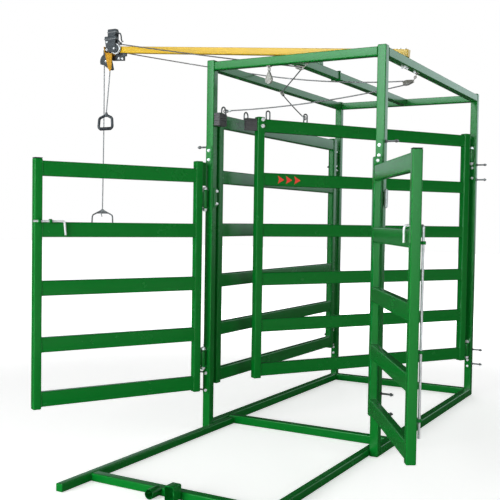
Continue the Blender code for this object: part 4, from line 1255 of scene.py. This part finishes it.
def ring_mesh(centre, normal, radius, wire, sides=12, turns=24):
    """A plain wire ring."""
    normal = Vector(normal).normalized()
    side = normal.orthogonal().normalized()
    over = normal.cross(side)
    path = [Vector(centre) + (side * math.cos(a) + over * math.sin(a)) * radius
            for a in [2 * math.pi * k / turns for k in range(turns)]]
    return tube_mesh(path, wire, sides, closed=True)


# A pulley across its axle, from the middle: wheel, groove and cheeks
AXLE_R, WHEEL_HALF, GROOVE_HALF, GROOVE_DEEP = 0.0030, 0.0043, 0.0036, 0.0041
CHEEK_IN, CHEEK_OUT, NUT_FACE = 0.0048, 0.0076, 0.0075


def pulley_set(name, centre, axis, arm, anchor, pad, r, ring_r):
    """Grooved wheel, two cheeks, axle with its nut, a swivel ring and the eye on the rail."""
    n = Vector(axis).normalized()
    d = (Vector(arm) - Vector(arm).dot(n) * n).normalized()
    turn = Matrix((d, n.cross(d), n)).transposed().to_4x4()
    turn.translation = Vector(centre)
    rim = r + 0.0012
    wheel = [(AXLE_R, -WHEEL_HALF), (rim, -WHEEL_HALF), (rim, -GROOVE_HALF)]
    wheel += [(r - 0.0001 - GROOVE_DEEP * math.cos(a), GROOVE_HALF * math.sin(a))
              for a in [math.radians(-75 + 25 * k) for k in range(7)]]
    wheel += [(rim, GROOVE_HALF), (rim, WHEEL_HALF), (AXLE_R, WHEEL_HALF)]
    reach = 1.75 * r + 0.004
    meshes = [lathe(wheel, centre, n, 28)]
    for low, high in ((-CHEEK_OUT, -CHEEK_IN), (CHEEK_IN, CHEEK_OUT)):
        meshes.append(slab(teardrop(r + 0.0035, max(0.0055, 0.36 * r), reach), low, high, turn))
    for sign in (-1, 1):
        meshes.append(lathe([(0.0052, 0.0), (0.0052, 0.0022), (0.0040, 0.0032), (0.0012, 0.0036)],
                            Vector(centre) + n * (NUT_FACE * sign), n * sign, 6 if sign > 0 else 18))
        meshes.append(lathe([(0.0034, 0.0), (0.0034, 0.0016), (0.0020, 0.0022)],
                            Vector(centre) + d * reach + n * (NUT_FACE * sign), n * sign, 14))
    meshes.append(lathe([(0.0030, -0.0050), (0.0040, -0.0049), (0.0040, 0.0049), (0.0030, 0.0050)],
                        Vector(centre) + d * reach, n, 14))
    tip = Vector(centre) + d * (reach + 0.004)
    goal = Vector(anchor)
    way = goal - tip
    meshes.append(tube_mesh(resampled([tip - d * 0.004, tip + way * 0.25, tip + way * 0.75, goal], 0.003),
                            0.0026, 10))
    across = way.cross(n) if way.cross(n).length > 1e-4 else n
    meshes.append(ring_mesh(tip + way * 0.5, across, ring_r, 0.0023))
    low, high = pad
    meshes.append(chamfered_box(low, high, 0.0015))
    piece = shown(name + "_set", joined(meshes), dull_zinc, "frame")
    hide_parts(name)


def pad_under(x, y):
    """The corners of a small pad under the top rails."""
    return (x - 0.012, y - 0.012, RAIL_UNDER - 0.0065), (x + 0.012, y + 0.012, RAIL_UNDER - 0.0003)


pulley_set("pulley_front", (0.0120, -0.1820, 2.1750), (-0.2196, -0.1530, -0.9635), (1.0, -0.25, 0.12),
           (0.100, -0.205, 2.218), ((0.088, -0.2087, 2.204), (0.112, -0.2010, 2.232)), 0.017, 0.0080)
pulley_set("pulley_left", (-0.5080, 0.6210, 2.1660), (0.7394, 0.4841, 0.4679), (-0.7, 0.7, 0.4),
           (-0.534, 0.651, 2.186), pad_under(-0.534, 0.651), 0.012, 0.0055)
pulley_set("pulley_right", (0.4860, 0.3280, 2.1320), (0.0691, -0.6287, 0.7746), (1.0, 0.15, 0.66),
           (0.545, 0.338, 2.186), pad_under(0.545, 0.338), 0.020, 0.0085)
pulley_set("pulley_spare", (-0.1560, -0.2340, 2.1100), (0.15, 1, 0), (0, 0, 1),
           (-0.156, -0.234, 2.186), pad_under(-0.156, -0.234), 0.020, 0.0120)


# Boom head

END_X, END_Z = -1.5442, 2.4420
for part in ("front", "rear", "drum", "foot"):
    dressed("boom_head_block_" + part, "_moulded", black_plastic, degrees=35.0, round_r=0.0018)
# Where each cover's pale band, a painted highlight, starts and ends in X, from END_X, and how far it stands
# out
COVER_ENDS = {"boom_head_block_front": (-0.0755, 0.0225), "boom_head_block_rear": (-0.1155, -0.0420)}
BAND_OUT = 0.0006


def highlight_band(name, node_name, low_z, high_z):
    """A pale grey band round the lower edge of a block's cover: a painted highlight on the cover's lower
    rim.
    """
    low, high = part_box(node_name)
    x0, x1 = COVER_ENDS[node_name]
    mesh = chamfered_box((END_X + x0 - BAND_OUT, low[1] - BAND_OUT, END_Z + low_z),
                         (END_X + x1 + BAND_OUT, high[1] - 0.004 + BAND_OUT, END_Z + high_z), 0.0008)
    shown(name, weighted(mesh, 40), grey_plastic, "frame")


highlight_band("front_cover_trim", "boom_head_block_front", 0.0868, 0.0915)
highlight_band("rear_cover_trim", "boom_head_block_rear", 0.1545, 0.1610)
FRONT_C = (END_X + 0.0105, END_Z + 0.0221)
REAR_C = (END_X - 0.1225, END_Z + 0.0060)
for name, centre, middle, half in (("front_sheave_rim", FRONT_C, 0.0687, 0.0062),
                                   ("rear_sheave_rim", REAR_C, 0.1513, 0.0056)):
    profile = [(0.0302, -half), (0.0362, -half), (0.0368, -half + 0.0006), (0.0362, -half + 0.0014),
               (0.0322, -0.0030), (0.0305, 0.0), (0.0322, 0.0030), (0.0362, half - 0.0014),
               (0.0368, half - 0.0006), (0.0362, half), (0.0302, half)]
    rim = lathe(profile, (centre[0], middle, centre[1]), (0, 1, 0), 40, closed=True)
    shown(name, rim, zinc, "frame")
FRONT_FACE, REAR_FACE, FOOT_FACE = 0.0487, 0.1707, 0.0953
head_bolts = [((x, FRONT_FACE, z), (0, -1, 0)) for x, z in (
    FRONT_C, (END_X - 0.052, END_Z + 0.070), (END_X - 0.052, END_Z + 0.018))]
head_bolts += [((x, REAR_FACE, z), (0, 1, 0)) for x, z in (
    REAR_C, (END_X - 0.080, END_Z + 0.130), (END_X - 0.080, END_Z + 0.070))]
head_bolts += [((x, FOOT_FACE, z), (0, -1, 0)) for x, z in (
    (END_X - 0.098, END_Z - 0.050), (END_X + 0.020, END_Z - 0.040), (END_X + 0.050, END_Z - 0.045))]
bolts_piece("boom_head_bolts", head_bolts, "frame", **HEAD_BOLT)

# A bent clip on the rear block, with its lower arm, its foot and its pin
CLIP_Y = 0.150
clip = [Vector((x, CLIP_Y, z)) for x, z in (
    (-1.5890, 2.5800), (-1.5720, 2.5905), (-1.5600, 2.5880), (-1.5520, 2.5700), (-1.5490, 2.5480),
    (-1.5440, 2.5340), (-1.5350, 2.5300))]
arm = [Vector((x, CLIP_Y, z)) for x, z in (
    (-1.5890, 2.5500), (-1.5740, 2.5400), (-1.5600, 2.5230), (-1.5530, 2.5120))]
clip_meshes = [tube_mesh(resampled(clip, 0.003), 0.0050, 12), tube_mesh(resampled(arm, 0.003), 0.0048, 12)]
clip_meshes.append(chamfered_box((-1.5640, 0.1450, 2.5060), (-1.5470, 0.1560, 2.5260), 0.0020))
shown("rear_block_clip", joined(clip_meshes), black_plastic, "frame")
pin = lathe([(0.0040, 0.0), (0.0050, 0.0006), (0.0050, 0.0030), (0.0034, 0.0040)],
            (-1.5385, 0.1450, 2.5310), (0, -1, 0), 16)
shown("rear_block_clip_pin", pin, zinc, "frame")


# Ropes

rope_radius = 0.004
ROPE_STEP = 0.004
CENTRE_ROUTE = [
    (-1.5705, 0.0687, 2.4400), (-1.5682, 0.0687, 2.4641), (-1.5648, 0.0687, 2.4790),
    (-1.5554, 0.0687, 2.4909), (-1.5418, 0.0687, 2.4977), (-1.5266, 0.0687, 2.4979),
    (-1.1425, 0.0019, 2.4149), (-0.7583, -0.0649, 2.3340), (-0.3742, -0.1318, 2.2551),
    (0.0099, -0.1986, 2.1781), (0.0192, -0.1974, 2.1758), (0.0261, -0.1913, 2.1733),
    (0.0286, -0.1823, 2.1713), (0.0258, -0.1731, 2.1705), (-0.2435, 0.2225, 2.1735),
    (-0.5128, 0.6180, 2.1766), (-0.5157, 0.6244, 2.1746), (-0.5157, 0.6296, 2.1693),
    (-0.5129, 0.6315, 2.1629), (-0.5083, 0.6295, 2.1576)]
CENTRE_RUN = [
    (-0.5083, 0.6295, 2.1576), (-0.4405, 0.5762, 2.1057), (-0.3727, 0.5228, 2.0558),
    (-0.3050, 0.4695, 2.0079), (-0.2372, 0.4161, 1.9620)]
SIDE_ROUTE = [
    (-1.7012, 0.1513, 2.3980), (-1.7012, 0.1513, 2.4480), (-1.6978, 0.1513, 2.4629),
    (-1.6884, 0.1513, 2.4748), (-1.6748, 0.1513, 2.4816), (-1.6596, 0.1513, 2.4818),
    (-1.3754, 0.1780, 2.4196), (-1.0913, 0.2046, 2.3595), (-0.8071, 0.2313, 2.3013),
    (-0.5230, 0.2580, 2.2452), (-0.3549, 0.2722, 2.2151), (-0.1869, 0.2865, 2.1903),
    (-0.0188, 0.3007, 2.1709), (0.1492, 0.3150, 2.1568), (0.3173, 0.3292, 2.1481),
    (0.4853, 0.3435, 2.1446), (0.4980, 0.3409, 2.1414), (0.5054, 0.3326, 2.1340),
    (0.5041, 0.3222, 2.1257), (0.4947, 0.3144, 2.1202)]
SIDE_RUN = [
    (0.4947, 0.3144, 2.1202), (0.3234, 0.2455, 2.0795), (0.1521, 0.1766, 2.0447),
    (-0.0192, 0.1077, 2.0156), (-0.1904, 0.0388, 1.9923), (-0.3617, -0.0301, 1.9748),
    (-0.5330, -0.0990, 1.9630)]


def laid_rope(points):
    """A rope of six strands along points."""
    return tube_mesh(resampled(points, ROPE_STEP), rope_radius, 18, strands=6, lay=0.050, depth=0.20)


rope_over_front = shown("rope_centre_strands", laid_rope(CENTRE_ROUTE), wire_steel, "frame")
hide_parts("rope_centre")
rope_over_rear = shown("rope_side_strands", laid_rope(SIDE_ROUTE), wire_steel, "frame")
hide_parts("rope_side")
for name, points, gate in (("rope_centre_run", CENTRE_RUN, "centre_gate"),
                           ("rope_side_run", SIDE_RUN, "side_gate")):
    run = shown(name, laid_rope(points), wire_steel, None)
    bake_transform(run)


THIMBLE_R = 0.0105


def rope_end(name, hook, back, eye, body):
    """The rope's end: an oval sleeve, and a loop of a thimble's size that holds the wire eye."""
    hook, back, eye = Vector(hook), Vector(back), Vector(eye)
    away = (back - hook).normalized()
    centre = eye + away * 0.006
    normal = away.cross(Vector((0, 0, 1))).normalized()
    over = normal.cross(away).normalized()
    start = centre + away * 0.030
    path = [start, centre + away * 0.020 + over * 0.0030]
    for k in range(13):
        a = math.radians(60 + 240 * k / 12)
        path.append(centre + away * (THIMBLE_R * math.cos(a)) + over * (THIMBLE_R * math.sin(a)))
    path += [centre + away * 0.020 - over * 0.0030, start - over * 0.0008]
    loop = tube_mesh(resampled(path, 0.0022), 0.0033, 12, strands=6, lay=0.03, depth=0.18)
    shown(name + "_loop", loop, wire_steel, body)
    sleeve = lathe([(0.0040, 0.0), (0.0066, 0.0008), (0.0066, 0.0170), (0.0040, 0.0178)],
                   centre + away * 0.0175, away, 18)
    shown(name + "_sleeve", sleeve, zinc, body)


rope_end("centre_rope_end", CENTRE_RUN[-1], CENTRE_RUN[-2],
         in_gate("centre_gate", INNER_END - 0.366, 0.0, INNER_TOP + 0.026), "centre_gate")
rope_end("side_rope_end", SIDE_RUN[-1], SIDE_RUN[-2],
         in_gate("side_gate", INNER_END - 0.080, 0.006, INNER_TOP + 0.028), "side_gate")


# Pull handles and their ropes

FRONT_DROP, D_TOP = (-1.57049, 0.0687, 2.4397), (-1.61089, 0.0687, 2.0300)
REAR_DROP, STIRRUP_TOP = (-1.70119, 0.1513, 2.3977), (-1.70719, 0.1513, 1.3570)
STIRRUP_KNOT_END = (-1.70719, 0.1513, 1.3340)


def hanging(top, bottom, lean, steps):
    """Points down a hanging rope, a little bowed along X."""
    out = []
    for k in range(steps + 1):
        t = k / steps
        x, y, z = (a + (b - a) * t for a, b in zip(top, bottom))
        out.append((x + lean * math.sin(math.pi * t), y, z))
    return out


def rounded_loop(top, corners, radii, steps=9):
    """A closed path in the upright plane of a handle, with rounded corners."""
    out = []
    count = len(corners)
    for i, (corner, r) in enumerate(zip(corners, radii)):
        c = Vector(corner)
        a = (Vector(corners[i - 1]) - c).normalized()
        b = (Vector(corners[(i + 1) % count]) - c).normalized()
        half = a.angle(b) / 2
        back = r / math.tan(half)
        centre = c + (a + b).normalized() * (r / math.sin(half))
        p = c + a * back - centre
        q = c + b * back - centre
        for k in range(steps + 1):
            turned_to = centre + p.slerp(q, k / steps) * r
            out.append(Vector((top[0] + turned_to.x, top[1], top[2] + turned_to.y)))
    return out


D_CORNERS = [(-0.070, -0.116), (0.055, -0.116), (0.050, -0.042), (0.0, -0.020), (-0.062, -0.042)]
STIRRUP_CORNERS = [(-0.098, -0.135), (0.096, -0.135), (0.092, -0.050), (0.0, -0.012), (-0.092, -0.050)]


TURN_STEPS = 14


def wound_knot(top, low, high, turns, radius, rope):
    """Tight turns of rope round the standing part."""
    path = []
    count = turns * TURN_STEPS
    for k in range(count + 1):
        a = 2 * math.pi * k / TURN_STEPS
        z = low + (high - low) * k / count
        path.append(Vector((top[0] + radius * math.cos(a), top[1] + radius * math.sin(a), top[2] + z)))
    return tube_mesh(path, rope, 10)


GRIP_RIBS, GRIP_RIB_STEP = 12, 0.0078
grip = even_loop(rounded_loop(D_TOP, D_CORNERS, (0.020, 0.020, 0.018, 0.012, 0.018)), 0.004)
d_parts = [tube_mesh(grip, 0.0094, 20, closed=True)]
for k in range(GRIP_RIBS):
    x = D_TOP[0] - 0.0535 + GRIP_RIB_STEP * k
    d_parts.append(lathe([(0.0090, 0.0), (0.0104, 0.0000), (0.0117, 0.0010), (0.0117, 0.0052),
                          (0.0104, 0.0062), (0.0090, 0.0062)],
                         (x, D_TOP[1], D_TOP[2] - 0.116), (1, 0, 0), 22, closed=True))
neck = [(0.0060, 0.0), (0.0118, 0.0020), (0.0123, 0.0120), (0.0105, 0.0200), (0.0060, 0.0225)]
d_parts.append(lathe(neck, (D_TOP[0], D_TOP[1], D_TOP[2] - 0.034), UP, 24))
d_piece = shown("handle_d_moulded", joined(d_parts), black_plastic, "frame")
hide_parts("handle_d")
d_turns = wound_knot(D_TOP, -0.0125, -0.0045, 2, 0.0062, rope_radius)
d_knot = shown("handle_d_knot", d_turns, wire_steel, "frame")

bow = even_loop(rounded_loop(STIRRUP_TOP, STIRRUP_CORNERS, (0.014, 0.014, 0.022, 0.006, 0.022)), 0.004)
bow_parts = [tube_mesh(bow, 0.0050, 16, closed=True)]
gusset = [(-0.060, -0.0385), (-0.052, -0.0335), (0.0, -0.0125), (0.052, -0.0335), (0.060, -0.0385)]
upright_plane = Matrix(((1, 0, 0, STIRRUP_TOP[0]), (0, 0, 1, STIRRUP_TOP[1]), (0, 1, 0, STIRRUP_TOP[2]),
                        (0, 0, 0, 1)))
bow_parts.append(outward(slab(gusset, -0.0017, 0.0017, upright_plane)))
bow_parts.append(lathe([(0.0050, 0.0), (0.0076, 0.0010), (0.0079, 0.0130), (0.0060, 0.0170)],
                       (STIRRUP_TOP[0], STIRRUP_TOP[1], STIRRUP_TOP[2] - 0.0235), UP, 20))
bow_parts.append(lathe([(0.0030, 0.0), (0.0042, 0.0008), (0.0042, 0.0252), (0.0030, 0.0260)],
                       (STIRRUP_TOP[0] - 0.013, STIRRUP_TOP[1], STIRRUP_TOP[2] - 0.0120), (1, 0, 0), 14))
bow_piece = shown("handle_stirrup_bow", joined(bow_parts), dark_steel, "frame")
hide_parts("handle_stirrup")
tail_points = [Vector((STIRRUP_TOP[0] - 0.004, STIRRUP_TOP[1] - 0.0055, STIRRUP_TOP[2] - 0.020)),
               Vector((STIRRUP_TOP[0] - 0.005, STIRRUP_TOP[1] - 0.0060, STIRRUP_TOP[2] - 0.040)),
               Vector((STIRRUP_TOP[0] + 0.001, STIRRUP_TOP[1] - 0.0050, STIRRUP_TOP[2] - 0.060))]
tail = tube_mesh(resampled(tail_points, 0.003), 0.0036, 14, strands=6, lay=0.04, depth=0.18)
tail_piece = shown("handle_stirrup_rope_tail", tail, wire_steel, "frame")

front_fall = hanging(FRONT_DROP, D_TOP, 0.001, 24)
rear_fall = hanging(REAR_DROP, STIRRUP_KNOT_END, 0.003, 40)
for name, points, carried, cad in (
        ("pull_rope_front", front_fall, (d_piece, d_knot), "rope_drop_front"),
        ("pull_rope_rear", rear_fall, (bow_piece, tail_piece), "rope_drop_rear")):
    path = resampled(points, ROPE_STEP)
    rope = shown(name, laid_rope(points), wire_steel, "frame")
    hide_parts(cad)
